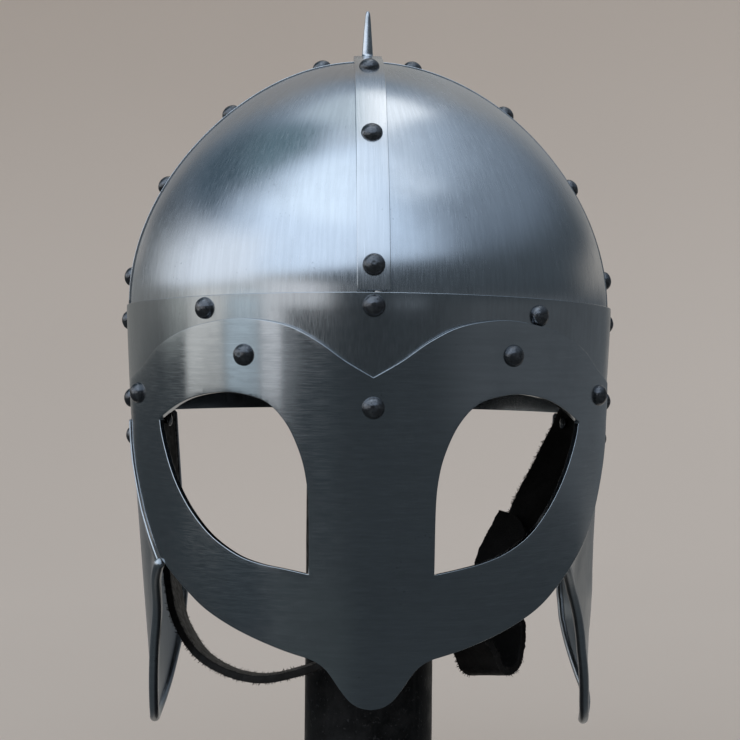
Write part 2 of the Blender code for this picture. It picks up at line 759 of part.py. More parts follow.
def make_guard(material):
    half = smooth_run(GUARD_TOP_EDGE, 2) + smooth_run(GUARD_SIDE_EDGE, 2) + smooth_run(GUARD_NOSE_EDGE, 2)
    half = [tuple(point) for point in half]
    mirrored = [(-angle, height) for angle, height in half[:0:-1]]
    outline = half + [GUARD_NOSE_EDGE[-1]] + mirrored
    eye = [tuple(point) for point in smooth_run(EYE_TOP_EDGE, 2) + smooth_run(EYE_BOTTOM_EDGE, 2)]
    other_eye = [left_eye_point(*point) for point in eye]

    def bend(angle, height, up):
        return on_facet(angle, lambda at: wall_point(at, height, GAP + up))

    angles = [STATION * (i + 0.5) for i in range(-11, 11)]
    mesh = cut_and_bend("spectacle_guard", angles, GUARD_BENDS, BAND, (outline, eye, other_eye), bend)
    drill(add_object("spectacle_guard", mesh, material))


def make_cheek_plate(side, name, material):
    """A hung plate with its lower front, tip and rear edge rolled round a wire."""
    edge = smooth_run(CHEEK_ROLL_EDGE, 2) + [Vector(CHEEK_ROLL_EDGE[-1])]
    front = []
    for step in range(6):
        height = CHEEK_TOP + (CHEEK_CORNER - CHEEK_TOP) * step / 6
        front.append(Vector((guard_side_angle(height) - CHEEK_OVERLAP, height)))
    top = Vector((edge[-1].x, CHEEK_TOP))
    outline = [(point.x, point.y) for point in front + edge + [top]]

    def bend(angle, height, up):
        return on_facet(angle, lambda at: cheek_point(side, at, height, up - CHEEK_PLATE), CHEEK_STATIONS)

    mesh = cut_and_bend(name, sorted(CHEEK_STATIONS), CHEEK_BENDS, CHEEK_PLATE, (outline,), bend)
    plate = add_object(name, mesh, material)
    wire = [bend(point.x, point.y, CHEEK_PLATE / 2) for point in edge]
    roll = add_cutter(name + "_roll", tube_mesh(name + "_roll", wire, ROLL_RADIUS, False))
    roll.parent = HELMET_AXIS
    join = plate.modifiers.new("Rolled edge", "BOOLEAN")
    join.operation = "UNION"
    join.object = roll
    drill(plate)


def make_hinge_tab(side, name, material):
    """A flat leather strip behind the brow band and the cheek plate."""
    angle = side * HINGES["hinge"][0]
    rows = []
    for height in TAB_HEIGHTS:
        middle, outward = plan_point(angle, leather_face(height))
        middle.z = height
        sideways = Vector((0.0, 0.0, 1.0)).cross(outward) * (TAB_WIDTH / 2)
        rows.append((middle - sideways, middle + sideways))
    tab = add_object(name, grid_mesh(name, rows), material)
    thicken(tab, TAB_THICK, -1)
    drill(tab)


def buckle_axes():
    """Directions of the buckle: up along the strap, across towards the face, and in towards the head."""
    up = Vector(BUCKLE_UP).normalized()
    across = Vector(BUCKLE_FRONT)
    across = (across - across.dot(up) * up).normalized()
    return up, across, across.cross(up)


def make_strap(name, side, top_heights, rows, buckle_rows, material):
    """A strap from its two rivets, through its table of free points, to its stretch at the buckle."""
    up, across, inward = buckle_axes()
    centres, acrosses = [], []
    for height in top_heights:
        centre, outward = plan_point(side * HINGES["strap"][0], leather_face(height) - STRAP_THICK / 2)
        centre.z = height
        centres.append(centre)
        acrosses.append(side * outward.cross(Vector((0.0, 0.0, 1.0))))
    for x, y, z, turn, tilt in rows:
        level = math.cos(math.radians(tilt))
        turned = Vector((math.sin(math.radians(turn)), -math.cos(math.radians(turn)), 0.0))
        centres.append(Vector((x, y, z)))
        acrosses.append(turned * level + Vector((0.0, 0.0, math.sin(math.radians(tilt)))))
    for along, off, forward in buckle_rows:
        centres.append(Vector(BUCKLE_BAR) + up * along + inward * off + across * forward)
        acrosses.append(across)
    centres = smooth_run(centres, 2) + [centres[-1]]
    acrosses = smooth_run(acrosses, 2) + [acrosses[-1]]
    strap = add_object(name, ribbon_mesh(name, centres, acrosses, STRAP_WIDTH), material)
    thicken(strap, STRAP_THICK, 0)
    drill(strap)


def make_buckle(material):
    """A plain rectangular loop of wire with rounded corners."""
    up, across, _ = buckle_axes()
    points = []
    for first in (0, 90, 180, 270):
        middle = math.radians(first + 45)
        along = -BUCKLE_SPAN / 2 + math.copysign(BUCKLE_SPAN / 2 - BUCKLE_CORNER, math.cos(middle))
        sideways = math.copysign(BUCKLE_HALF_WIDTH - BUCKLE_CORNER, math.sin(middle))
        for turn in (0, 45, 90):
            angle = math.radians(first + turn)
            at = up * (along + BUCKLE_CORNER * math.cos(angle))
            at += across * (sideways + BUCKLE_CORNER * math.sin(angle))
            points.append(Vector(BUCKLE_BAR) + at)
    add_object("strap_buckle", tube_mesh("strap_buckle", points, BUCKLE_WIRE_RADIUS, True), material)


def make_spike(material):
    """Stands on the crest band and is peened inside: returns its seat and what its shank passes through."""
    seat = Vector((CROWN_SHIFT, 0.0, dome_point(0.0, hump_rise(0.0), HUMP_LIFT).z + BAND))
    grip = seat.z - BROW_TOP - BOWL_RISE + PLATE + SEAT_GAP
    end = -grip - 2 * SEAT_GAP
    profile = (
        (0.0, SPIKE_HEIGHT),
        (0.7 * SPIKE_TIP_RADIUS, SPIKE_HEIGHT - 0.4),
        (SPIKE_TIP_RADIUS, SPIKE_HEIGHT - 1.5),
        (0.85 * SPIKE_RADIUS, 0.5 * SPIKE_HEIGHT),
        (SPIKE_RADIUS, 0.0),
        (SHANK_RADIUS, 0.0),
        (SHANK_RADIUS, end),
        (PEEN_RADIUS, end),
        (0.0, end - PEEN_HEIGHT),
    )
    spike = add_object("crown_spike", turned_mesh("crown_spike", profile, SPIKE_STEPS), material)
    spike.location = (seat + Vector((0.0, 0.0, SEAT_GAP))) * MM
    return seat, grip


def make_stand(material):
    top = DATUM_HEIGHT + POST_TOP
    bottom = BASE_THICK + GAP
    post_profile = (
        (0.0, top),
        (POST_RADIUS - EDGE_BREAK, top),
        (POST_RADIUS, top - EDGE_BREAK),
        (POST_RADIUS, bottom),
        (0.0, bottom),
    )
    base_profile = (
        (0.0, BASE_THICK),
        (BASE_RADIUS - EDGE_BREAK, BASE_THICK),
        (BASE_RADIUS, BASE_THICK - EDGE_BREAK),
        (BASE_RADIUS, 0.0),
        (0.0, 0.0),
    )
    post = add_object("stand_post", turned_mesh("stand_post", post_profile, POST_STEPS), material)
    base = add_object("stand_base", turned_mesh("stand_base", base_profile, POST_STEPS), material)
    for obj in (post, base):
        obj.location = (POST_X * MM, 0.0, -DATUM_HEIGHT * MM)


def main():
    steel = make_material("satin_steel", (0.36, 0.38, 0.40), 0.34, 1.0)
    rivet_steel = make_material("blackened_steel", (0.13, 0.13, 0.14), 0.45, 1.0)
    leather = make_material("black_leather", (0.02, 0.018, 0.017), 0.7, 0.0)
    iron = make_material("weathered_iron", (0.06, 0.06, 0.06), 0.6, 0.8)

    places = rivet_places()
    crown_seat, crown_grip = make_spike(steel)
    make_rivet_holes(places + [("crown_spike", crown_seat, Vector((0.0, 0.0, 1.0)), crown_grip)])
    make_bowl(steel)
    make_brow_band(steel)
    make_bands(steel)
    make_guard(steel)
    for side, end in ((-1, "left"), (1, "right")):
        make_cheek_plate(side, "cheek_plate_" + end, steel)
        make_hinge_tab(side, "hinge_tab_" + end, leather)
    make_rivets(places, rivet_steel)
    make_strap("chin_strap_long", -1, LONG_STRAP_TOP, LONG_STRAP, LONG_STRAP_IN_BUCKLE, leather)
    make_strap("chin_strap_short", 1, SHORT_STRAP_TOP, SHORT_STRAP, SHORT_STRAP_ROUND_BAR, leather)
    make_buckle(rivet_steel)
    make_stand(iron)


clear_scene()
PARTS = make_collection("spectacle_helmet")
CUTTERS = make_collection("cutters")
HELMET_AXIS = bpy.data.objects.new("helmet_axis", None)
PARTS.objects.link(HELMET_AXIS)
HELMET_AXIS.location = (0.0, AXIS_Y * MM, DATUM_HEIGHT * MM)
main()
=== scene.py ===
"""Dresses the spectacle helmet and its post stand in fine meshes, worked steel, leather and iron.

Lengths in the code are millimetres, and the helmet's own frame has its origin on the crown axis at the brow
datum. Heights are measured from that datum, and angles go round the axis from the front, positive towards +X.
"""

import json
import math
import random
from types import SimpleNamespace

import bmesh
import bpy
import numpy as np
from mathutils import Matrix, Vector, noise
from mathutils.geometry import delaunay_2d_cdt


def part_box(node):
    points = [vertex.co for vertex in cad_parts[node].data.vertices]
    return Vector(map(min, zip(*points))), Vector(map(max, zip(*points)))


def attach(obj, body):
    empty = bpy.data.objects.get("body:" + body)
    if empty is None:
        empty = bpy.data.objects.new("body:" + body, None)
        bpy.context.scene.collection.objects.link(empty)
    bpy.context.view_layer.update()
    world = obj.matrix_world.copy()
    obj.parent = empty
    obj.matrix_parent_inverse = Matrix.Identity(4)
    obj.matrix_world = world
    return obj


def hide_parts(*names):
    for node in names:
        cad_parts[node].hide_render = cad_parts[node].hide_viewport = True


bl_info = {
    "name": "Spectacle Helmet",
    "version": (1, 0, 0),
    "blender": (4, 5, 0),
    "location": "View3D > Sidebar > Helmet",
    "description": "A riveted spectacle helmet with cheek plates and a leather chin strap, on a post stand",
    "category": "Add Mesh",
}

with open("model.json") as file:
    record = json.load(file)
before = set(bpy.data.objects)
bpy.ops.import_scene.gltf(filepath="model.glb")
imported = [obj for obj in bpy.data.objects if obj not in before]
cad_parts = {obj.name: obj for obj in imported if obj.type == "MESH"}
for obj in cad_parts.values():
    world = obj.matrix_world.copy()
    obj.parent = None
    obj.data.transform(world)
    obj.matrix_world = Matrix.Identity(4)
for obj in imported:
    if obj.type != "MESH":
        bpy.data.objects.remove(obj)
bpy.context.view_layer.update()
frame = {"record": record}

MM = 0.001
UP = Vector((0.0, 0.0, 1.0))

# ---- Fixed dimensions of the sheets and bands ----
PLATE = 1.6
CHEEK_PLATE = 1.0
BAND = 2.0
GAP = 0.3  # between the brow band and the guard
EDGE_ROUND = 0.22
PATTERN_SCALE = 2.0  # millimetres of flat pattern for each degree round the axis
GUARD_PITCH = 2.1  # width of the triangles in the guard's sheet
CHEEK_PITCH = 2.3
BROW_TOP = 20.5
BROW_BOTTOM = -26.5
BROW_PEAK = 2.4
BROW_TAPER = 0.05
BROW_ROLL = 0.003  # how fast the brow band's top edge rolls in
BROW_ROLL_FROM = 13.0
LEAN_RAMP = 4.2  # height over which the shading of the guard starts to lean in, below the brow band
NOTCH_ENDS = (16.0, 58.5)
NOTCH_ROOM = 2.0
NOTCH_SLOPE = 1.5
JOINT_HALF = 0.3
BOWL_INSET = 2.4
BOWL_LAP = 12.0
BOWL_COLUMNS = 44
BOWL_ROWS = 46
BOWL_LAST_RISE = 88.3  # degrees: the plates stop short of the crown, under the bands
CROWN_SHIFT = -1.4
SHOULDER_DROP = 2.3
SHOULDER_LEAN = 0.5
BAND_FOOT = 0.6
BAND_STEPS = 60  # rows from the foot of a band to the crown
BAND_END = 0.18  # degrees from the cut foot of a band to its full thickness
BAND_END_SHARE = 0.94
BAND_CAMBER = 0.14
BAND_WAVER = 0.10
CROWN_LIFT = 0.35
CROWN_BAND = 1.6
HUMP_LIFT = CROWN_LIFT + CROWN_BAND + 0.4
HUMP_REACH = (18.0, 8.0)  # from the axis, where the crest band starts to step up and where it is flat

# ---- Cheek plates: -1 is the left one, 1 the right one ----
CHEEK_TOP = -27.4
CHEEK_LEAN = 0.085
CHEEK_PLUMB_BELOW = {-1: -155.0, 1: -122.0}
CHEEK_CORNER = -81.2
CHEEK_CORNERS = {-1: (51.0, -82.0), 1: (49.8, CHEEK_CORNER)}
CHEEK_CUTS = 6  # corners of the front edge
CHEEK_EDGE_ROUND = 0.45
CHEEK_HOLD = {-1: 0.3, 1: 1.2}
CHEEK_SETTLE = {-1: (3.5, 16.0), 1: (9.5, 9.5)}  # degrees, high up and low down
CHEEK_SETTLE_HEIGHTS = (-50.0, -90.0)
CHEEK_FLARE = {-1: 0.0, 1: 7.5}
CHEEK_FLARE_ANGLES = (84.0, 105.0)
CHEEK_SWELL_HEIGHTS = (-147.0, -130.0, -115.0, -100.0, -90.0, -80.0, -60.0)
CHEEK_SWELL = (0.85, 1.4, 1.9, 1.5, 0.65, 0.1, -0.6)  # of the right plate, at these heights
CHEEK_SWELL_ANGLES = (60.0, 76.0)
CHEEK_OVERLAP = {-1: -0.5, 1: 1.5}
CHEEK_FRONT_OFFSET = {-1: 0.8, 1: -2.5}
CHEEK_FRONT_FADE = {-1: (-81.2, -141.2), 1: (-58.0, -108.0)}
LEFT_CORNER_HEIGHTS = (-92.0, -80.0, -70.0, -60.0)
LEFT_CORNER_ROOM = (0.0, 1.4, 0.2, 0.0)  # degrees, at these heights

# ---- Leather and buckle ----
STRAP_THICK = 3.0
STRAP_STEPS = 22
STRAP_TIP_STEPS = 18
STRAP_TIP_SHARE = 0.06  # share of the width that is left at the very tip
TAB_WIDTH = 22.0
TAB_THICK = 2.0
TAB_STEPS = 8
TAB_HEIGHTS = (-9.0, -26.0, -32.0, -46.0)
LEATHER_FACE = -5.0
LEATHER_DROP = -5.6
LEATHER_EDGE_ROUND = 0.5
LEATHER_RAGGED = 1.6  # width of the uneven strip along a cut edge
FIBRE_SPACING = 0.22
FIBRE_FIRST_STEP = 2
FIBRE_RUN = 0.72  # share of a strap that carries loose fibres
FIBRE_INSET = 0.25
FIBRE_TAPER = ((0.0, 0.20), (0.5, 0.14), (1.0, 0.04))  # share of the length, radius
BUCKLE_BAR = Vector((62.5, 0.0, -97.0))
BUCKLE_UP = (0.45, 0.40, 0.80)
BUCKLE_FRONT = (0.62, -0.78, 0.0)
BUCKLE_SPAN = 16.0
BUCKLE_HALF_WIDTH = 15.0
BUCKLE_CORNER = 2.2
BUCKLE_WIRE_RADIUS = 1.5

# ---- Rivets, spike and stand ----
SHANK_RADIUS = 1.9
PEEN_RADIUS = 3.1
PEEN_HEIGHT = 1.1
SEAT_GAP = 0.2
SEAT_SINK = 0.3
LEAN_ROOM = {"hinge": 0.9, "strap": 1.7}
HINGE_BROW_HEIGHT = -19.6
HINGES = {"hinge": (88.0, -36.0), "strap": (106.5, -31.0)}  # angle, height of the rivet in the cheek plate
SPIKE_LENGTH = 20.0
SPIKE_TIP = ((0.0, 0.0), (0.30, 0.06), (0.62, 0.30), (0.86, 0.75), (1.04, 1.5))  # radius, way from the tip
SPIKE_STEPS = 24
STAND_BEVEL = 2.0
STAND_WEAR = 0.10

CREST_RIVETS = (6.6, 37.0, 66.0)  # rise over the bowl in degrees
CROSS_RIVETS = (7.0, 30.3, 54.0, 79.0)
BROW_RIVETS = (  # angle, height
    (0.0, 18.0),
    (36.9, 15.4),
    (-37.1, 17.2),
    (90.0, 14.5),
    (-90.0, 14.5),
    (142.5, 14.5),
    (-142.5, 14.5),
    (180.0, 14.5),
)
GUARD_RIVETS = (  # angle, height
    (0.0, -19.2),
    (29.4, 0.1),
    (-26.6, -0.3),
    (60.5, -15.4),
    (-62.0, -16.0),
)

# ---- Outlines of the right half, as smooth runs between corners: angle, height ----
GUARD_TOP_EDGE = (
    (0.0, -8.2),
    (5.5, -2.2),
    (11.2, 5.2),
    (17.6, 10.8),
    (26.5, 13.3),
    (34.5, 12.0),
    (43.0, 8.6),
    (52.0, 2.3),
    (59.0, -5.0),
    (67.5, -10.6),
)
GUARD_SIDE_EDGE = (
    (67.5, -10.6),
    (68.5, -20.0),
    (68.0, -32.0),
    (65.8, -43.0),
    (59.5, -61.5),
    (54.5, -72.0),
    (49.0, -80.6),
    (42.4, -89.6),
    (37.4, -95.4),
    (32.0, -99.9),
    (25.8, -104.1),
    (18.2, -108.4),
    (12.6, -111.0),
)
GUARD_NOSE_EDGE = (
    (12.6, -111.0),
    (10.6, -112.6),
    (8.6, -115.6),
    (6.0, -122.2),
    (4.1, -126.2),
    (2.1, -128.3),
    (0.0, -129.0),
)
EYE_TOP_EDGE = (
    (51.0, -25.6),
    (44.5, -20.0),
    (38.3, -16.1),
    (31.0, -14.3),
    (24.6, -15.8),
    (20.6, -19.2),
    (17.2, -26.4),
    (14.7, -36.0),
    (13.4, -45.0),
    (12.8, -56.0),
    (12.6, -80.2),
)
EYE_BOTTOM_EDGE = (
    (12.6, -80.2),
    (17.7, -78.6),
    (23.2, -76.6),
    (29.0, -73.2),
    (34.8, -67.4),
    (39.8, -59.2),
    (44.0, -50.1),
    (47.3, -41.2),
    (49.9, -32.0),
    (51.0, -25.6),
)
LEFT_EYE_SPREAD = 1.0
LEFT_EYE_DROP = 1.0
LEFT_EYE_OUTSIDE = (30.0, 45.0)
LEFT_EYE_BELOW = (16.0, 28.0)
LEFT_EYE_DROP_HEIGHTS = (-30.0, -50.0)
CHEEK_ROLL_EDGE = (  # after the front corner, round the tip and up the rear edge
    (56.5, -91.5),
    (63.3, -105.0),
    (68.6, -120.0),
    (74.5, -138.0),
    (79.5, -151.5),
    (84.5, -157.8),
    (91.0, -158.4),
    (98.0, -154.8),
    (105.5, -147.0),
    (112.5, -133.0),
    (116.5, -117.0),
    (117.5, -100.0),
    (117.5, -28.0),
)

# ---- Strap routes below the rivets: x, y from the crown axis, height, turn of the width from -Y, tilt ----
LONG_STRAP_TOP = (-12.0, -24.0, -33.0, -45.0)
SHORT_STRAP_TOP = (-12.0, -18.0, -24.0)
LONG_STRAP = (
    (-91.2, 25.5, -57.0, -11.0, 0.0),
    (-89.8, 21.0, -69.0, -9.0, 0.0),
    (-88.0, 14.0, -83.0, -6.0, 0.0),
    (-85.5, 2.0, -101.0, -2.0, 0.0),
    (-80.3, -11.0, -115.8, 0.0, 2.0),
    (-71.0, -23.0, -127.2, 0.0, 6.0),
    (-58.0, -33.0, -133.6, 0.0, 8.0),
    (-43.0, -39.5, -135.3, 0.0, 8.0),
    (-27.0, -43.0, -131.6, 0.0, 8.0),
    (-10.0, -43.6, -125.4, 0.0, 8.0),
    (7.0, -42.4, -119.8, 4.0, 7.0),
    (21.0, -38.6, -116.6, 12.0, 6.0),
    (32.0, -32.4, -116.6, 22.0, 6.0),
    (41.5, -25.8, -119.5, 32.0, 8.0),
    (46.6, -21.0, -127.0, 38.5, 9.0),
    (49.7, -18.8, -134.2, 38.5, 9.0),
    (53.9, -15.4, -136.9, 38.5, 9.0),
    (57.8, -12.0, -134.2, 38.5, 8.0),
    (59.8, -9.6, -127.0, 38.5, 4.0),
    (60.2, -7.4, -118.6, 38.5, 0.0),
)
LONG_STRAP_IN_BUCKLE = (  # along the strap from the carrying bar, towards the head, to the front
    (-16.0, -4.0, 0.0),
    (-11.3, -1.9, 0.0),
    (-7.5, 2.6, 0.0),
    (-4.0, 5.8, -0.6),
    (0.5, 7.2, -1.0),
    (9.0, 7.6, -2.2),
    (26.5, 8.2, -1.0),
)
SHORT_STRAP = (
    (93.4, 28.5, -30.0, 20.0, 0.0),
    (91.5, 27.2, -36.0, 28.0, 0.0),
    (89.0, 24.9, -42.0, 34.0, 0.0),
    (86.0, 21.8, -48.5, 37.0, 0.0),
    (81.7, 17.7, -56.0, 38.0, 0.0),
    (77.6, 14.0, -63.0, 39.0, 0.0),
)
SHORT_STRAP_ROUND_BAR = (
    (26.0, 3.4, 0.0),
    (12.0, 3.4, 0.0),
    (0.0, 3.4, 0.0),
    (-2.4, 2.4, 0.0),
    (-3.4, 0.0, 0.0),
    (-2.4, -2.4, 0.0),
    (0.0, -3.4, 0.0),
    (8.0, -3.4, 0.0),
    (18.0, -3.4, 0.0),
)

# The brow band's underside sets the datum, and the stand's mount the crown axis.
AXIS = Vector((0.0, frame["record"]["mounts"][0]["pos_m"][1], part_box("brow_band")[0].z - BROW_BOTTOM * MM))


# ---- What a user would change ----


def length(name, description, default):
    return bpy.props.FloatProperty(
        name=name, description=description, default=default, min=0.0, unit="LENGTH", subtype="DISTANCE"
    )


def colour(name, description, default):
    return bpy.props.FloatVectorProperty(
        name=name, description=description, default=default, min=0.0, max=1.0, size=3, subtype="COLOR"
    )


class HelmetSizes(bpy.types.PropertyGroup):
    """Sizes of the helmet"""

    half_width: length("Half width", "Crown axis to the side of the brow band", 0.1055)
    front_length: length("Front length", "Crown axis to the front of the brow band", 0.131)
    back_length: length("Back length", "Crown axis to the back of the brow band", 0.109)
    bowl_rise: length("Bowl rise", "Top of the brow band to the crown", 0.10635)
    band_width: length("Band width", "Width of the bands over the bowl", 0.0122)
    rivet_radius: length("Rivet radius", "Radius of a rivet head", 0.0043)
    rivet_height: length("Rivet height", "Height of a rivet head", 0.0035)
    spike_radius: length("Spike radius", "Radius of the spike's foot", 0.0025)
    roll_radius: length("Roll radius", "Radius of the rolled edge of a cheek plate", 0.0021)
    strap_width: length("Strap width", "Width of the chin strap", 0.025)
    unevenness: length("Unevenness", "Depth of the waves that hand work leaves in the sheet", 0.00016)


class HelmetColours(bpy.types.PropertyGroup):
    """Colours of the steel, leather, iron and backdrop"""

    bowl: colour("Bowl", "Brushed steel of the bowl plates", (0.56, 0.59, 0.63))
    band: colour("Bands", "Brushed steel of the bands", (0.62, 0.64, 0.67))
    brow: colour("Brow band", "Steel of the brow band", (0.46, 0.485, 0.51))
    guard: colour("Guard", "Darker steel of the spectacle guard", (0.47, 0.50, 0.53))
    cheek: colour("Cheek plates", "Steel of the cheek plates", (0.48, 0.50, 0.52))
    spike: colour("Spike", "Polished steel of the spike", (0.62, 0.64, 0.67))
    rivet: colour("Rivets", "Blackened steel of the rivets", (0.115, 0.12, 0.13))
    leather: colour("Leather", "Black leather of the strap and tabs", (0.010, 0.0098, 0.0100))
    iron: colour("Stand", "Weathered iron of the stand", (0.022, 0.022, 0.023))
    backdrop: colour("Backdrop", "Pale floor and sweep", (0.40, 0.353, 0.312))


class StudioSettings(bpy.types.PropertyGroup):
    """Camera and light of the studio"""

    distance: length("Camera distance", "Camera to the crown axis", 0.73)
    focal_length: bpy.props.FloatProperty(
        name="Focal length", description="Lens of the camera", default=80.3, min=1.0, unit="CAMERA"
    )
    sky: bpy.props.FloatProperty(
        name="Sky", description="Strength of the large soft light", default=1.0, min=0.0
    )


def in_mm():
    """The sizes in millimetres."""
    group = bpy.context.scene.helmet_sizes
    return SimpleNamespace(**{name: getattr(group, name) / MM for name in HelmetSizes.__annotations__})


# ---- Helmet surfaces ----


def share(value, ends):
    """How far a value is on the way from the first end, 0, to the last, 1."""
    first, last = ends
    return (value - first) / (last - first)


def ease(t):
    """0 to 1 with a level start and end."""
    t = min(max(t, 0.0), 1.0)
    return t * t * (3.0 - 2.0 * t)


def wave(point, size, depth):
    """Height of a smooth random surface whose waves are about this size."""
    return depth * noise.noise(point / size)


def spin(angle, x=1.0, y=1.0):
    """x times the sine and y times minus the cosine of an angle: a point of an ellipse round the axis."""
    turn = math.radians(angle)
    return Vector((x * math.sin(turn), -y * math.cos(turn), 0.0))


def plan_length(size, angle):
    """Crown axis to the front or the back of the plan, whichever half the angle is in."""
    return size.front_length if math.cos(math.radians(angle)) > 0 else size.back_length


def plan_point(size, angle, offset):
    """A point of the egg-shaped plan, moved outwards by offset, and the outward direction there."""
    reach = plan_length(size, angle)
    outward = spin(angle, 1.0 / size.half_width, 1.0 / reach).normalized()
    return spin(angle, size.half_width, reach) + outward * offset, outward


def wall_point(size, angle, height, offset):
    """A point of the leaning brow wall, with the waves of hand work. Below the brow band it is plumb."""
    below = min(max(BROW_TOP - height, 0.0), BROW_TOP - BROW_BOTTOM)
    point, outward = plan_point(size, angle, offset - BROW_TAPER * below)
    point.z = height
    return point + outward * wave(spin(angle, 100.0, 100.0) + UP * height, 34.0, size.unevenness)


def dome_point(size, angle, rise, offset):
    """A point of the bowl, moved along its normal by offset, with the waves of hand work."""
    climb = math.radians(rise)
    width = size.half_width - BOWL_INSET
    reach = plan_length(size, angle) - BOWL_INSET
    point = spin(angle, width, reach) * math.cos(climb)
    point.z = size.bowl_rise * math.sin(climb)
    normal = Vector((point.x / width**2, point.y / reach**2, point.z / size.bowl_rise**2)).normalized()
    lean = Vector((CROWN_SHIFT * math.sin(climb), 0.0, BROW_TOP))
    offset -= (SHOULDER_DROP - SHOULDER_LEAN * math.sin(math.radians(angle))) * math.sin(2 * climb) ** 2
    return point + lean + normal * (offset + wave(point, 46.0, 1.3 * size.unevenness))


def brow_top(angle):
    """Height of the band's upper edge, which rises to a low peak in front."""
    return BROW_TOP + BROW_PEAK * max(math.cos(math.radians(angle)), 0.0) ** 2


def brow_bottom(angle):
    """Height of the band's lower edge, which is cut back behind the eyes and hidden by the guard."""
    turn = abs((angle + 180.0) % 360.0 - 180.0)
    if not NOTCH_ENDS[0] < turn < NOTCH_ENDS[1]:
        return BROW_BOTTOM
    inner = sorted(point for point in EYE_TOP_EDGE if point[1] > BROW_BOTTOM)
    level = float(np.interp(turn, [point[0] for point in inner], [point[1] for point in inner])) + NOTCH_ROOM
    ends = min(turn - NOTCH_ENDS[0], NOTCH_ENDS[1] - turn)
    return BROW_BOTTOM + (level - BROW_BOTTOM) * ease(ends / NOTCH_SLOPE)


def smooth_run(points, steps):
    """Points on a Catmull-Rom curve through the given ones, without the last of them."""
    knots = [Vector(point) for point in points]
    knots.insert(0, 2 * knots[0] - knots[1])
    knots.append(2 * knots[-1] - knots[-2])
    run = []
    for a, b, c, d in zip(knots, knots[1:], knots[2:], knots[3:]):
        for step in range(steps):
            t = step / steps
            point = 2 * b + (c - a) * t
            point += (2 * a - 5 * b + 4 * c - d) * t**2
            point += (3 * b - 3 * c + d - a) * t**3
            run.append(0.5 * point)
    return run


def straight_run(first, last, steps):
    """Points on a line, without the last of them."""
    return [Vector(first).lerp(Vector(last), step / steps) for step in range(steps)]


def left_corner_room(height):
    """How much further back the guard's left edge runs near the cheek plate's corner."""
    return float(np.interp(height, LEFT_CORNER_HEIGHTS, LEFT_CORNER_ROOM))


def guard_side_angle(side, height):
    """Angle of the guard's side edge, held below the cheek plate's front corner."""
    heights = [point[1] for point in GUARD_SIDE_EDGE[::-1]]
    angles = [point[0] for point in GUARD_SIDE_EDGE[::-1]]
    height = max(height, CHEEK_CORNER)
    return float(np.interp(height, heights, angles)) + (left_corner_room(height) if side < 0 else 0.0)


def cheek_offset(side, angle, height):
    """Outer face of a cheek plate off the plan, flatter than the brow and leaning in as it goes down."""
    lean = BROW_TAPER * (BROW_TOP - BROW_BOTTOM)
    lean += CHEEK_LEAN * (CHEEK_TOP - max(height, CHEEK_PLUMB_BELOW[side]))
    front = CHEEK_FRONT_OFFSET[side]
    front += (-lean - front) * min(max(share(height, CHEEK_FRONT_FADE[side]), 0.0), 1.0)
    quick, slow = CHEEK_SETTLE[side]
    settle = quick + (slow - quick) * ease(share(height, CHEEK_SETTLE_HEIGHTS))
    t = (angle - guard_side_angle(side, height) - CHEEK_HOLD[side]) / settle
    down = share(height, (CHEEK_TOP, CHEEK_PLUMB_BELOW[side]))
    flare = CHEEK_FLARE[side] * ease(share(angle, CHEEK_FLARE_ANGLES)) * ease(down)
    swell = 0.0
    if side > 0:
        swell = float(np.interp(height, CHEEK_SWELL_HEIGHTS, CHEEK_SWELL))
        swell *= ease(share(angle, CHEEK_SWELL_ANGLES))
    return front + (-lean - front) * ease(t) + flare + swell


def cheek_point(size, side, angle, height, up=0.0):
    """A point of the cheek plate's outer face, moved outwards by up. angle is without its sign."""
    point, outward = plan_point(size, angle, cheek_offset(side, angle, height) + up)
    point += outward * wave(Vector((point.x, point.y, height)) + UP * side * 90.0, 30.0, size.unevenness)
    return Vector((side * point.x, point.y, height))


def leather_face(height):
    """Outer face of the hung leather off the plan, behind the brow band and the cheek plate."""
    if height >= TAB_HEIGHTS[1]:
        return LEATHER_FACE
    return LEATHER_DROP - CHEEK_LEAN * max(CHEEK_TOP - height, 0.0)


# ---- Mesh building ----


def mesh_from(name, points, faces, uvs):
    """A smooth mesh. uvs holds, for every face, the pattern coordinates of its corners in millimetres."""
    mesh = bpy.data.meshes.new(name)
    mesh.from_pydata([tuple(point * MM) for point in points], [], faces)
    layer = mesh.uv_layers.new(name="pattern")
    layer.uv.foreach_set("vector", np.array([uv for face in uvs for uv in face], np.float32).ravel())
    mesh.polygons.foreach_set("use_smooth", [True] * len(mesh.polygons))
    return mesh


def finish_mesh(mesh, weld=True):
    """Welds seams, drops faces without area and turns every face outwards."""
    bm = bmesh.new()
    bm.from_mesh(mesh)
    if weld:
        bmesh.ops.remove_doubles(bm, verts=bm.verts, dist=0.000002)
    bmesh.ops.dissolve_degenerate(bm, edges=bm.edges, dist=0.0000005)
    bmesh.ops.recalc_face_normals(bm, faces=bm.faces)
    bm.to_mesh(mesh)
    bm.free()
    return mesh


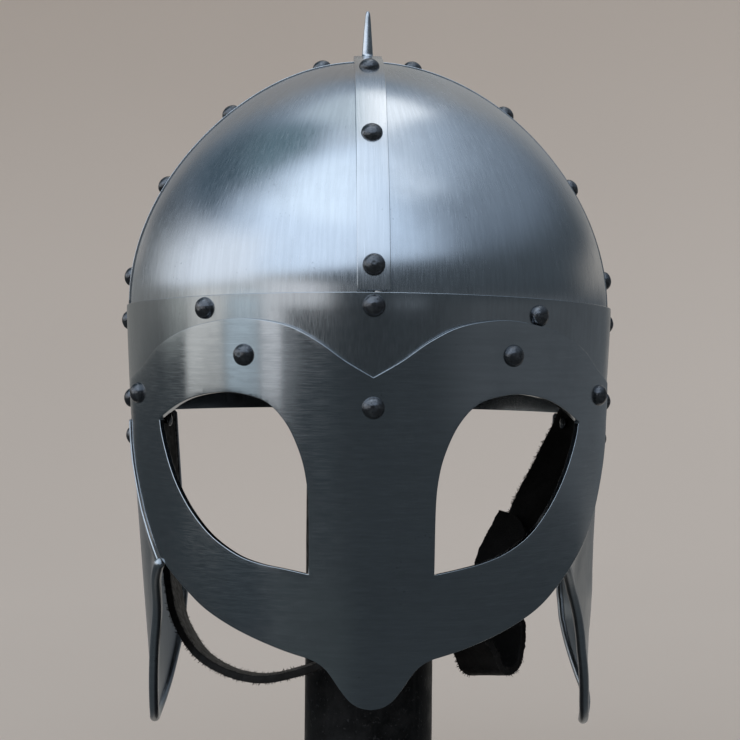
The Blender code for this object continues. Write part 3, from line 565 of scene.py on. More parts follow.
def loft(name, rows, closed=False, caps=True):
    """A skin over closed rings of points. The pattern runs from ring to ring in u and round them in v."""
    count = len(rows[0])
    points = [point for row in rows for point in row]
    around = [0.0]
    for j in range(count):
        around.append(around[-1] + (rows[0][(j + 1) % count] - rows[0][j]).length)
    along = [0.0]
    for i in range(len(rows)):
        along.append(along[-1] + (rows[(i + 1) % len(rows)][0] - rows[i][0]).length)
    faces, uvs = [], []
    for i in range(len(rows) if closed else len(rows) - 1):
        for j in range(count):
            corners = ((i, j), (i + 1, j), (i + 1, j + 1), (i, j + 1))
            faces.append([(a % len(rows)) * count + b % count for a, b in corners])
            uvs.append([(along[a], around[b]) for a, b in corners])
    if caps and not closed:
        for i in (0, len(rows) - 1):
            faces.append([i * count + j for j in range(count)])
            uvs.append([(along[i], around[j]) for j in range(count)])
    return finish_mesh(mesh_from(name, points, faces, uvs))


def revolve(name, profile, steps, shape=None):
    """A turned solid about Z from (radius, height) pairs that end on the axis. shape may move each point."""
    rows = []
    for radius, height in profile:
        ring = [spin(360.0 * step / steps) * radius + UP * height for step in range(steps)]
        rows.append([shape(point) for point in ring] if shape else ring)
    return loft(name, rows, caps=False)


def rounded_section(span, thickness, edge, splits, turns=3):
    """(along, up) points round a rounded rectangle, with its long faces in splits parts."""
    section = []
    for corner, (along, up) in enumerate(((span, 0.0), (span, thickness), (0.0, thickness), (0.0, 0.0))):
        middle = (along - math.copysign(edge, along - edge), up - math.copysign(edge, up - edge))
        for turn in range(turns + 1):
            angle = math.radians(90.0 * (corner - 1) + 90.0 * turn / turns)
            section.append((middle[0] + edge * math.cos(angle), middle[1] + edge * math.sin(angle)))
        if corner in (1, 3):
            first, last = (span - edge, edge) if corner == 1 else (edge, span - edge)
            for split in range(1, splits):
                section.append((first + (last - first) * split / splits, up))
    return section


def inset_loop(loop, depth):
    """A closed loop of 2D points moved to the left of its direction by depth."""
    before, after = np.roll(loop, 1, axis=0), np.roll(loop, -1, axis=0)
    first = (loop - before) / np.linalg.norm(loop - before, axis=1, keepdims=True)
    second = (after - loop) / np.linalg.norm(after - loop, axis=1, keepdims=True)
    along = first + second
    along /= np.maximum(np.linalg.norm(along, axis=1, keepdims=True), 1e-9)
    left = np.stack((-along[:, 1], along[:, 0]), axis=1)
    spread = np.maximum(np.abs((along * second).sum(axis=1, keepdims=True)), 0.5)
    return loop + left * depth / spread


def turned_loop(points, counterclockwise):
    """The points as a closed 2D loop that runs the given way round."""
    loop = np.array([(point[0], point[1]) for point in points])
    after = np.roll(loop, -1, axis=0)
    area = (loop[:, 0] * after[:, 1] - loop[:, 1] * after[:, 0]).sum()
    return loop if (area > 0) == counterclockwise else loop[::-1]


def inside(loop, points):
    """Which 2D points lie inside a closed loop."""
    within = np.zeros(len(points), bool)
    for (x0, y0), (x1, y1) in zip(loop, np.roll(loop, -1, axis=0)):
        crosses = (y0 > points[:, 1]) != (y1 > points[:, 1])
        if crosses.any():
            at = x0 + (points[:, 1] - y0) * (x1 - x0) / (y1 - y0 if y1 != y0 else 1.0)
            within ^= crosses & (points[:, 0] < at)
    return within


def filling(loops, pitch):
    """A staggered grid of points inside the first loop, outside the others and clear of all of them."""
    low, high = loops[0].min(axis=0), loops[0].max(axis=0)
    rows = []
    row_height = 0.866  # of an equilateral triangle
    clearance = 0.6
    for number, y in enumerate(np.arange(low[1], high[1], pitch * row_height)):
        x = np.arange(low[0] + (number % 2) * pitch / 2, high[0], pitch)
        rows.append(np.stack((x, np.full(len(x), y)), axis=1))
    points = np.concatenate(rows)
    keep = inside(loops[0], points)
    for hole in loops[1:]:
        keep &= ~inside(hole, points)
    points = points[keep]
    edge = np.concatenate(loops)
    clear = np.array([np.min(((edge - point) ** 2).sum(axis=1)) for point in points])
    return points[clear > (clearance * pitch) ** 2]


def cut_sheet(name, outline, holes, thickness, bend, pitch, edge=EDGE_ROUND):
    """A sheet cut to its outlines with rounded edges. bend(x, y, up) gives its points on the helmet."""
    loops = [turned_loop(outline, True)] + [turned_loop(hole, False) for hole in holes]
    rim = []
    for turn in (90.0, 60.0, 30.0, 0.0):
        slope = math.radians(turn)
        rim.append((edge * (1 - math.cos(slope)), thickness - edge * (1 - math.sin(slope))))
    rim += [(inset, thickness - up) for inset, up in rim[::-1]]
    flat, points, faces, uvs = [], [], [], []
    starts = []

    def add_face(corners):
        faces.append(corners)
        uvs.append([flat[corner] for corner in corners])

    for loop in loops:
        starts.append(len(points))
        for inset, up in rim:
            for x, y in inset_loop(loop, inset):
                flat.append((x, y))
                points.append(bend(x, y, up))
        for ring in range(len(rim) - 1):
            for j in range(len(loop)):
                k = (j + 1) % len(loop)
                a, b = starts[-1] + ring * len(loop), starts[-1] + (ring + 1) * len(loop)
                add_face([a + j, b + j, b + k, a + k])
    tops = [inset_loop(loop, rim[0][0]) for loop in loops]
    grid = filling(tops, pitch)
    corners = [Vector(point) for point in np.concatenate(tops + [grid])]
    edges, at = [], 0
    for loop in loops:
        edges += [(at + j, at + (j + 1) % len(loop)) for j in range(len(loop))]
        at += len(loop)
    found = delaunay_2d_cdt(corners, edges, [], 0, 1e-6)
    places = np.array([tuple(point) for point in found[0]])
    triangles = np.array(found[2])
    middles = places[triangles].mean(axis=1)
    keep = inside(tops[0], middles)
    for hole in tops[1:]:
        keep &= ~inside(hole, middles)
    for up, last in ((thickness, False), (0.0, True)):
        index = {}
        first = len(points)
        for x, y in grid:
            flat.append((x, y))
            points.append(bend(x, y, up))
        for number, originals in enumerate(found[3]):
            source = originals[0]
            for start, loop in zip(starts, loops):
                if source < len(loop):
                    index[number] = start + (len(rim) - 1) * len(loop) * last + source
                    break
                source -= len(loop)
            else:
                index[number] = first + source
        for triangle in triangles[keep]:
            corners = [index[corner] for corner in triangle]
            add_face(corners[::-1] if last else corners)
    return finish_mesh(mesh_from(name, points, faces, uvs), weld=False)


def swept(name, centres, acrosses, section, span, rough=None, tip=0):
    """A section of (along the width, up) points carried along the centres, rounded over its last tip rows."""
    rows = []
    for i, centre in enumerate(centres):
        along = (centres[min(i + 1, len(centres) - 1)] - centres[max(i - 1, 0)]).normalized()
        across = (acrosses[i] - acrosses[i].dot(along) * along).normalized()
        up = along.cross(across)
        row = []
        left = (len(centres) - 1 - i) / tip if tip else 1.0
        narrow = STRAP_TIP_SHARE + (1.0 - STRAP_TIP_SHARE) * math.sqrt(1.0 - max(1.0 - left, 0.0) ** 2)
        for wide, high in section:
            point = centre + across * (wide * narrow - span / 2) + up * high
            row.append(point + rough(point, wide, up, across) if rough else point)
        rows.append(row)
    return loft(name, rows)


def wire(name, points, radius, closed, steps):
    """A round wire through the points, with blunt rounded ends if it is open."""
    end_reach, end_share = 0.6, 0.55
    turns = [math.radians(360.0 * step / steps) for step in range(steps)]
    rows = []
    last = len(points) - 1
    up = None
    for i, point in enumerate(points):
        if closed:
            along = points[(i + 1) % len(points)] - points[i - 1]
        else:
            along = points[min(i + 1, last)] - points[max(i - 1, 0)]
        along.normalize()
        up = (up or along.orthogonal()) - (up or along.orthogonal()).dot(along) * along
        up.normalize()
        side = along.cross(up)
        rows.append([point + (up * math.cos(turn) + side * math.sin(turn)) * radius for turn in turns])
    if not closed:
        for end, inner in ((0, 1), (-1, -2)):
            outwards = (points[end] - points[inner]).normalized()
            middle = points[end] + outwards * end_reach * radius
            ring = [middle + (place - points[end]) * end_share for place in rows[end]]
            rows.insert(0 if end == 0 else len(rows), ring)
    return loft(name, rows, closed=closed)


def show(name, mesh, material, nodes, location=None):
    """Puts a piece into the scene in place of CAD nodes. Its mesh is in the helmet's frame."""
    obj = bpy.data.objects.new(name, mesh)
    bpy.context.scene.collection.objects.link(obj)
    obj.location = AXIS if location is None else location
    mesh.materials.append(material)
    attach(obj, "root")
    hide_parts(*nodes)
    return obj


def steady_shading(obj):
    """Lets the large faces set the shading, so that only the rounded edges catch the light."""
    modifier = obj.modifiers.new("Steady shading", "WEIGHTED_NORMAL")
    modifier.keep_sharp = True
    modifier.weight = 80


# ---- Materials ----


class Graph:
    """Wires up one node tree."""

    def __init__(self, tree):
        self.tree = tree
        tree.nodes.clear()

    def add(self, kind, inputs=None, output=0, **settings):
        node = self.tree.nodes.new("ShaderNode" + kind)
        for name, value in settings.items():
            setattr(node, name, value)
        for name, value in (inputs or {}).items():
            if isinstance(value, bpy.types.NodeSocket):
                self.tree.links.new(value, node.inputs[name])
            else:
                node.inputs[name].default_value = value
        return node.outputs[output] if output is not None else node

    def math(self, operation, a, b=0.0):
        return self.add("Math", {0: a, 1: b}, operation=operation)

    def noise(self, vector, scale, detail=3.0, roughness=0.5):
        inputs = {"Vector": vector, "Scale": scale, "Detail": detail, "Roughness": roughness}
        return self.add("TexNoise", inputs)

    def scaled(self, vector, scale, turn=0.0):
        rotation = (0.0, 0.0, math.radians(turn))
        return self.add("Mapping", {"Vector": vector, "Scale": scale, "Rotation": rotation})

    def level(self, value, low, high, to_low=0.0, to_high=1.0):
        inputs = {"Value": value, "From Min": low, "From Max": high, "To Min": to_low, "To Max": to_high}
        return self.add("MapRange", inputs, interpolation_type="SMOOTHSTEP")

    def between(self, value, start, low, high, end):
        """1 from low to high, and 0 before start and beyond end."""
        return self.math("MULTIPLY", self.level(value, start, low), self.level(value, end, high))

    def blend(self, factor, a, b, mode="MIX"):
        a, b = ((*c, 1.0) if isinstance(c, tuple) and len(c) == 3 else c for c in (a, b))
        return self.add("Mix", {0: factor, 6: a, 7: b}, output=2, data_type="RGBA", blend_type=mode)


def tinted(tone, factor):
    """A colour made lighter or darker."""
    return tuple(min(channel * factor, 1.0) for channel in tone)


def new_material(name):
    """A material and the emptied graph of its nodes."""
    material = bpy.data.materials.get(name) or bpy.data.materials.new(name)
    material.use_nodes = True
    return material, Graph(material.node_tree)


def surface(graph, **inputs):
    """A Principled surface from input names in lower case with underscores."""
    named = {name.replace("_", " ").title().replace("Ior", "IOR"): value for name, value in inputs.items()}
    shader = graph.add("BsdfPrincipled", named)
    graph.add("OutputMaterial", {"Surface": shader}, output=None)


def worked_steel(
    name, tone, roughness, upright, anisotropy, brush, scratch=0.25, stain=0.35, relief=0.16, lean=0.0
):
    """Brushed sheet: fine lines along or across the pattern, a few scratches, stains and pits.

    brush is the width and length of the lines. lean tips the shading in below the brow band, by its slope.
    """
    material, graph = new_material(name)
    pattern = graph.add("UVMap", uv_map="pattern")
    place = graph.add("TexCoord", output=3)
    fine, run = 1.0 / brush[0], 1.0 / brush[1]
    scale = (fine, run, 1.0) if upright else (run, fine, 1.0)
    lines = graph.noise(graph.scaled(pattern, scale), 1.0, 4.0, 0.62)
    wider = graph.noise(graph.scaled(pattern, tuple(0.22 * part for part in scale)), 1.0, 3.0, 0.55)
    stray = graph.noise(graph.scaled(pattern, tuple(0.8 * part for part in scale), 24.0), 1.0, 2.0, 0.5)
    marks = graph.level(stray, 0.64, 0.74, 0.0, scratch)
    cloud = graph.noise(place, 26.0, 4.0, 0.6)
    spots = graph.noise(place, 900.0, 2.0, 0.6)
    dirty = graph.level(graph.noise(place, 40.0, 2.0, 0.5), 0.52, 0.72)
    pits = graph.math("MULTIPLY", graph.level(spots, 0.66, 0.74), dirty)
    base = graph.blend(lines, tinted(tone, 0.86), tinted(tone, 1.12))
    base = graph.blend(graph.level(wider, 0.35, 0.65, 0.0, 0.35), base, tinted(tone, 0.80))
    base = graph.blend(graph.level(cloud, 0.45, 0.75, 0.0, stain), base, tinted(tone, 0.62))
    base = graph.blend(marks, base, tinted(tone, 1.25))
    base = graph.blend(graph.math("MULTIPLY", pits, 0.8), base, tinted(tone, 0.22))
    rough = graph.level(lines, 0.3, 0.7, roughness - 0.04, roughness + 0.05)
    rough = graph.math("ADD", rough, graph.level(cloud, 0.4, 0.8, 0.0, 0.05))
    height = graph.math("ADD", graph.math("MULTIPLY", lines, 0.6), graph.math("MULTIPLY", wider, 0.5))
    height = graph.math("SUBTRACT", height, graph.math("MULTIPLY", pits, 0.8))
    height = graph.math("ADD", height, graph.math("MULTIPLY", marks, -0.6))
    fine_bump = {"Height": height, "Strength": relief, "Distance": 0.00003}
    if lean:
        parts = graph.add("SeparateXYZ", {"Vector": place}, output=None).outputs
        below = graph.math("SUBTRACT", (BROW_BOTTOM + LEAN_RAMP / 2) * MM, parts[2])
        below = graph.math("MAXIMUM", below, 0.0)
        near = graph.math("MINIMUM", below, LEAN_RAMP * MM)
        eased = graph.math("MULTIPLY", graph.math("MULTIPLY", near, near), 0.5 / (LEAN_RAMP * MM))
        below = graph.math("ADD", eased, graph.math("SUBTRACT", below, near))
        set_back = graph.math("MULTIPLY", below, -lean)
        fine_bump["Normal"] = graph.add("Bump", {"Height": set_back, "Strength": 1.0, "Distance": 1.0})
    bump = graph.add("Bump", fine_bump)
    tangent = graph.add("Tangent", direction_type="UV_MAP", uv_map="pattern")
    surface(
        graph,
        base_color=base,
        metallic=1.0,
        roughness=rough,
        anisotropic=anisotropy,
        anisotropic_rotation=0.0 if upright else 0.25,
        normal=bump,
        tangent=tangent,
    )
    return material


def blackened_steel(name, tone, worn=0.5):
    """Forged and blackened rivet steel: worn bright on top, with small pits and a brown bloom."""
    material, graph = new_material(name)
    place = graph.add("TexCoord", output=3)
    seed = graph.math("MULTIPLY", graph.add("ObjectInfo", output=5), 37.0)
    moved = graph.add("VectorMath", {0: place, 1: seed}, operation="ADD")
    cloud = graph.noise(moved, 380.0, 4.0, 0.6)
    grain = graph.noise(moved, 1900.0, 3.0, 0.6)
    pits = graph.level(graph.noise(moved, 1300.0, 2.0, 0.5), 0.63, 0.70)
    wear = graph.level(cloud, 0.48, 0.66, 0.0, worn)
    base = graph.blend(wear, tone, tinted(tone, 2.2))
    base = graph.blend(graph.level(grain, 0.35, 0.7, 0.0, 0.4), base, tinted(tone, 0.6))
    base = graph.blend(graph.level(cloud, 0.40, 0.28, 0.0, 0.25), base, (0.075, 0.055, 0.040))
    base = graph.blend(graph.math("MULTIPLY", pits, 0.8), base, tinted(tone, 0.15))
    rough = graph.level(grain, 0.3, 0.7, 0.18, 0.27)
    height = graph.math("SUBTRACT", graph.math("MULTIPLY", cloud, 0.7), pits)
    bump = graph.add("Bump", {"Height": height, "Strength": 0.35, "Distance": 0.00012})
    surface(graph, base_color=base, metallic=0.92, roughness=rough, normal=bump)
    return material


def polished_steel(name, tone):
    """The turned spike: bright, with fine turning rings and a few pits."""
    material, graph = new_material(name)
    place = graph.add("TexCoord", output=3)
    rings = graph.noise(graph.scaled(place, (40.0, 40.0, 2600.0)), 1.0, 2.0, 0.5)
    cloud = graph.noise(place, 240.0, 3.0, 0.6)
    pits = graph.level(graph.noise(place, 700.0, 2.0, 0.5), 0.68, 0.73)
    base = graph.blend(graph.level(cloud, 0.35, 0.7, 0.0, 0.6), tone, tinted(tone, 0.55))
    base = graph.blend(graph.math("MULTIPLY", pits, 0.85), base, tinted(tone, 0.12))
    rough = graph.level(rings, 0.3, 0.7, 0.12, 0.22)
    height = graph.math("SUBTRACT", graph.math("MULTIPLY", rings, 0.4), pits)
    bump = graph.add("Bump", {"Height": height, "Strength": 0.25, "Distance": 0.00004})
    surface(graph, base_color=base, metallic=1.0, roughness=rough, normal=bump)
    return material


def black_leather(name, tone, edge=0.0):
    """Vegetable-tanned leather dyed black: a pebbled grain, creases and dry edges."""
    material, graph = new_material(name)
    place = graph.add("TexCoord", output=3)
    pebbles = graph.add("TexVoronoi", {"Vector": place, "Scale": 1250.0, "Randomness": 0.9}, feature="F1")
    folds = graph.noise(place, 320.0, 5.0, 0.62)
    cloud = graph.noise(place, 55.0, 3.0, 0.6)
    base = graph.blend(graph.level(cloud, 0.35, 0.7), tone, tinted(tone, 2.1))
    base = graph.blend(graph.level(folds, 0.58, 0.76, 0.0, 0.5 + edge), base, tinted(tone, 4.5))
    rough = graph.level(folds, 0.3, 0.7, 0.46 + 0.2 * edge, 0.72 + 0.2 * edge)
    height = graph.math("ADD", graph.math("MULTIPLY", pebbles, 0.7), graph.math("MULTIPLY", folds, 1.1))
    bump = graph.add("Bump", {"Height": height, "Strength": 0.55, "Distance": 0.00022})
    surface(graph, base_color=base, roughness=rough, specular_ior_level=0.22, normal=bump)
    return material


def weathered_iron(name, tone):
    """Dark iron with a scaly skin, rust bloom and rubbed spots."""
    material, graph = new_material(name)
    place = graph.add("TexCoord", output=3)
    scale = graph.noise(place, 140.0, 6.0, 0.65)
    cloud = graph.noise(place, 22.0, 4.0, 0.6)
    streaks = graph.noise(graph.scaled(place, (160.0, 160.0, 9.0)), 1.0, 4.0, 0.6)
    specks = graph.level(graph.noise(place, 620.0, 3.0, 0.6), 0.60, 0.70)
    base = graph.blend(graph.level(scale, 0.35, 0.7), tinted(tone, 0.5), tinted(tone, 1.5))
    base = graph.blend(graph.level(streaks, 0.52, 0.75, 0.0, 0.5), base, tinted(tone, 2.6))
    rust = graph.math("MULTIPLY", graph.level(cloud, 0.52, 0.72), graph.level(scale, 0.40, 0.65, 0.0, 0.5))
    base = graph.blend(rust, base, (0.060, 0.032, 0.018))
    base = graph.blend(graph.math("MULTIPLY", specks, 0.6), base, tinted(tone, 4.0))
    rough = graph.level(scale, 0.3, 0.7, 0.42, 0.66)
    height = graph.math("ADD", scale, graph.math("MULTIPLY", specks, -0.4))
    bump = graph.add("Bump", {"Height": height, "Strength": 0.45, "Distance": 0.0005})
    surface(graph, base_color=base, metallic=0.7, roughness=rough, normal=bump)
    return material


# ---- Pieces ----


def bend_wall(size, lift):
    """How a sheet over the brow wall bends: x of the pattern is PATTERN_SCALE for each degree."""
    return lambda x, y, up: wall_point(size, x / PATTERN_SCALE, y, lift + up)


def buckle_axes():
    """Directions of the buckle: up along the strap, across towards the face, and in towards the head."""
    up = Vector(BUCKLE_UP).normalized()
    across = Vector(BUCKLE_FRONT)
    across = (across - across.dot(up) * up).normalized()
    return up, across, across.cross(up)


def seat_on(point_at, first, second):
    """A point of a surface with two parameters and its outward direction."""
    seat = point_at(first, second)
    normal = (point_at(first + 0.5, second) - seat).cross(point_at(first, second + 0.5) - seat).normalized()
    return seat, normal if normal.dot(seat) > 0 else -normal


def rivet_places(size):
    """(node, seat, outward direction, grip) for every rivet: the grip is what its shank passes through."""
    places = []
    crown_grip = CROWN_BAND + CROWN_LIFT + PLATE

    def band_top(angle, rise):
        return dome_point(size, angle, rise, CROWN_LIFT + CROWN_BAND)

    for number, rise in enumerate(CREST_RIVETS, 1):
        for end, angle in (("front", 0.0), ("back", 180.0)):
            places.append((f"rivet_crest_{end}_{number}", *seat_on(band_top, angle, rise), crown_grip))
    for number, rise in enumerate(CROSS_RIVETS, 1):
        for end, angle in (("left", -90.0), ("right", 90.0)):
            places.append((f"rivet_cross_{end}_{number}", *seat_on(band_top, angle, rise), crown_grip))
    for number, (angle, height) in enumerate(BROW_RIVETS, 1):
        seat = seat_on(lambda a, h: wall_point(size, a, h, 0.0), angle, height)
        places.append((f"rivet_brow_{number}", *seat, BOWL_INSET + PLATE))
    for number, (angle, height) in enumerate(GUARD_RIVETS, 1):
        seat = seat_on(lambda a, h: wall_point(size, a, h, GAP + BAND), angle, height)
        places.append((f"rivet_guard_{number}", *seat, BAND + GAP + PLATE))
    for side, end in ((-1, "left"), (1, "right")):
        for kind, (angle, cheek_height) in HINGES.items():
            leather = STRAP_THICK if kind == "strap" else TAB_THICK
            seat = seat_on(lambda a, h: wall_point(size, a, h, 0.0), side * angle, HINGE_BROW_HEIGHT)
            grip = -BROW_TAPER * (BROW_TOP - HINGE_BROW_HEIGHT) - leather_face(HINGE_BROW_HEIGHT) + leather
            places.append((f"rivet_{kind}_{end}_brow", *seat, grip))
            seat = seat_on(lambda a, h: cheek_point(size, side, a, h), angle, cheek_height)
            grip = cheek_offset(side, angle, cheek_height) - leather_face(cheek_height)
            grip += leather + LEAN_ROOM[kind]
            places.append((f"rivet_{kind}_{end}_cheek", *seat, grip))
    return places


class HELMET_OT_bowl(bpy.types.Operator):
    """Raise the four bowl plates that meet under the bands"""

    bl_idname = "helmet.bowl"
    bl_label = "Bowl Plates"

    def execute(self, context):
        size = in_mm()
        tone = tuple(context.scene.helmet_colours.bowl)
        steel = worked_steel("brushed bowl steel", tone, 0.22, True, 0.70, brush=(0.42, 6.0), scratch=0.12)
        feet = (BROW_TOP - BOWL_LAP, BROW_TOP - BOWL_LAP / 2)
        rises = [BOWL_LAST_RISE * step / BOWL_ROWS for step in range(BOWL_ROWS + 1)]
        for number, place in enumerate(("front_right", "back_right", "back_left", "front_left")):
            first = 90.0 * number
            middle = spin(first + 45.0)
            shift = Vector((math.copysign(JOINT_HALF, middle.x), math.copysign(JOINT_HALF, middle.y), 0.0))
            angles = [first + 90.0 * step / BOWL_COLUMNS for step in range(BOWL_COLUMNS + 1)]
            sides = []
            for depth in (0.0, -PLATE):
                behind = depth - BOWL_INSET
                rows = [[wall_point(size, angle, foot, behind) for angle in angles] for foot in feet]
                rows += [[dome_point(size, angle, rise, depth) for angle in angles] for rise in rises]
                sides.append([[point + shift for point in row] for row in rows])
            mesh = self.plate(size, "bowl_" + place, sides, first)
            piece = show("fine_bowl_plate_" + place, mesh, steel, ["bowl_plate_" + place])
            steady_shading(piece)
        return {"FINISHED"}

    @staticmethod
    def plate(size, name, sides, first):
        """A closed plate from its outer and inner grids of points. first is the angle of its first edge."""
        rows, count = len(sides[0]), len(sides[0][0])
        points = [point for grid in sides for row in grid for point in row]
        faces, uvs = [], []
        reach = size.bowl_rise * math.pi / 2 / rows
        squeeze = 0.9  # the pattern's width for the bowl's mean girth

        def flat(i, j):
            return (j * squeeze * 90.0 / (count - 1) * PATTERN_SCALE + first, i * reach)

        for i in range(rows - 1):
            for j in range(count - 1):
                corners = ((i, j), (i, j + 1), (i + 1, j + 1), (i + 1, j))
                for side, turned in ((0, corners), (rows * count, corners[::-1])):
                    faces.append([side + a * count + b for a, b in turned])
                    uvs.append([flat(a, b) for a, b in turned])
        rim = [(0, j) for j in range(count)] + [(i, count - 1) for i in range(1, rows)]
        rim += [(rows - 1, j) for j in range(count - 2, -1, -1)] + [(i, 0) for i in range(rows - 2, 0, -1)]
        for a, b in zip(rim, rim[1:] + rim[:1]):
            p, q = a[0] * count + a[1], b[0] * count + b[1]
            faces.append([p, p + rows * count, q + rows * count, q])
            uvs.append([flat(*a), flat(*a), flat(*b), flat(*b)])
        return finish_mesh(mesh_from(name, points, faces, uvs), weld=False)


class HELMET_OT_brow_band(bpy.types.Operator):
    """Roll the brow band round the foot of the bowl"""

    bl_idname = "helmet.brow_band"
    bl_label = "Brow Band"

    def execute(self, context):
        size = in_mm()
        tone = tuple(context.scene.helmet_colours.brow)
        marks = {"brush": (0.42, 5.0), "scratch": 0.08, "stain": 0.4}
        steel = worked_steel("warm brow steel", tone, 0.18, True, 0.3, **marks)
        rows = []
        for degree in range(360):
            angle = float(degree)
            top, bottom = brow_top(angle), brow_bottom(angle)
            section = rounded_section(top - bottom, PLATE, EDGE_ROUND, 14)
            row = []
            for along, up in section:
                height = bottom + along
                nick = 0.10 * noise.noise(spin(angle, 60.0, 60.0)) * ease(share(height, (4.0, top)))
                rolled = BROW_ROLL * max(height - BROW_ROLL_FROM, 0.0) ** 2
                row.append(wall_point(size, angle, height, up - PLATE - rolled) + UP * nick)
            rows.append(row)
        mesh = loft("brow_band_fine", rows, closed=True)
        steady_shading(show("fine_brow_band", mesh, steel, ["brow_band"]))
        return {"FINISHED"}


def band_mesh(size, name, angle, stations):
    """A band over the bowl. stations gives (angle, rise, lift) from one end over the crown to the other."""
    section = rounded_section(size.band_width, CROWN_BAND, EDGE_ROUND, 10)
    sideways = Vector((math.cos(math.radians(angle)), math.sin(math.radians(angle)), 0.0))
    rows = []
    last = len(stations) - 1
    for number, (end, rise, lift) in enumerate(stations):
        base, high = dome_point(size, end, rise, lift), dome_point(size, end, rise, lift + 1.0)
        up = high - base
        shrink = BAND_END_SHARE if number in (0, last) else 1.0
        waver = BAND_WAVER * noise.noise(base / 9.0)
        row = []
        for wide, thick in section:
            camber = BAND_CAMBER * (1 - (2 * wide / size.band_width - 1) ** 2)
            height = CROWN_BAND / 2 + (thick - CROWN_BAND / 2) * shrink + camber
            beside = (wide - size.band_width / 2) * (shrink + 0.02 * waver) + waver
            row.append(base + sideways * beside + up * height)
        rows.append(row)
    return loft(name, rows)


class HELMET_OT_bands(bpy.types.Operator):
    """Lay the crest band and the cross band over the joints of the bowl"""

    bl_idname = "helmet.bands"
    bl_label = "Crest and Cross Bands"

    def execute(self, context):
        size = in_mm()
        tone = tuple(context.scene.helmet_colours.band)
        steel = worked_steel("brushed band steel", tone, 0.20, False, 0.45, brush=(0.45, 12.0), scratch=0.35)
        for name, angle in (("crest_band", 0.0), ("cross_band", -90.0)):
            halves = []
            for end in (angle, angle + 180.0):
                start = math.degrees(math.asin((brow_top(end) + BAND_FOOT - BROW_TOP) / size.bowl_rise))
                rises = [start + (90.0 - start) * (step / BAND_STEPS) for step in range(BAND_STEPS + 1)]
                rises.insert(1, start + BAND_END)
                half = []
                for rise in rises:
                    lift = CROWN_LIFT
                    if name == "crest_band":
                        reach = (plan_length(size, end) - BOWL_INSET) * math.cos(math.radians(rise))
                        lift += (HUMP_LIFT - CROWN_LIFT) * ease(share(reach, HUMP_REACH))
                    half.append((end, rise, lift))
                halves.append(half)
            stations = halves[0] + halves[1][-2::-1]
            mesh = band_mesh(size, name + "_fine", angle, stations)
            steady_shading(show("fine_" + name, mesh, steel, [name]))
        return {"FINISHED"}


class HELMET_OT_guard(bpy.types.Operator):
    """Cut the spectacle guard with both eyes and bend it round the brow"""

    bl_idname = "helmet.guard"
    bl_label = "Spectacle Guard"

    def execute(self, context):
        size = in_mm()
        half = smooth_run(GUARD_TOP_EDGE, 8) + smooth_run(GUARD_SIDE_EDGE, 9) + smooth_run(GUARD_NOSE_EDGE, 7)
        left = [self.left_half(point) for point in half[:0:-1]]
        outline = half + [Vector(GUARD_NOSE_EDGE[-1])] + left
        eye = smooth_run(EYE_TOP_EDGE, 8) + smooth_run(EYE_BOTTOM_EDGE, 8)
        loops = (outline, eye, [self.left_eye(point) for point in eye])
        outline, *eyes = [[(PATTERN_SCALE * point.x, point.y) for point in loop] for loop in loops]
        mesh = cut_sheet("guard", outline, eyes, BAND, bend_wall(size, GAP), GUARD_PITCH)
        tone = tuple(context.scene.helmet_colours.guard)
        marks = {"brush": (0.42, 8.0), "scratch": 0.35, "stain": 0.3, "relief": 0.06}
        steel = worked_steel("brushed guard steel", tone, 0.14, False, 0.2, lean=BROW_TAPER, **marks)
        steady_shading(show("fine_spectacle_guard", mesh, steel, ["spectacle_guard"]))
        return {"FINISHED"}

    @staticmethod
    def left_half(point):
        """The left half of the outline, wider at the cheek plate's corner."""
        return Vector((-point.x - left_corner_room(point.y), point.y))

    @staticmethod
    def left_eye(point):
        """The left eye is cut a little larger than the right one, at its outer and lower edge."""
        outwards = LEFT_EYE_SPREAD * ease(share(point.x, LEFT_EYE_OUTSIDE))
        down = LEFT_EYE_DROP * ease(share(point.x, LEFT_EYE_BELOW))
        down *= ease(share(point.y, LEFT_EYE_DROP_HEIGHTS))
        return Vector((-point.x - outwards, point.y - down))


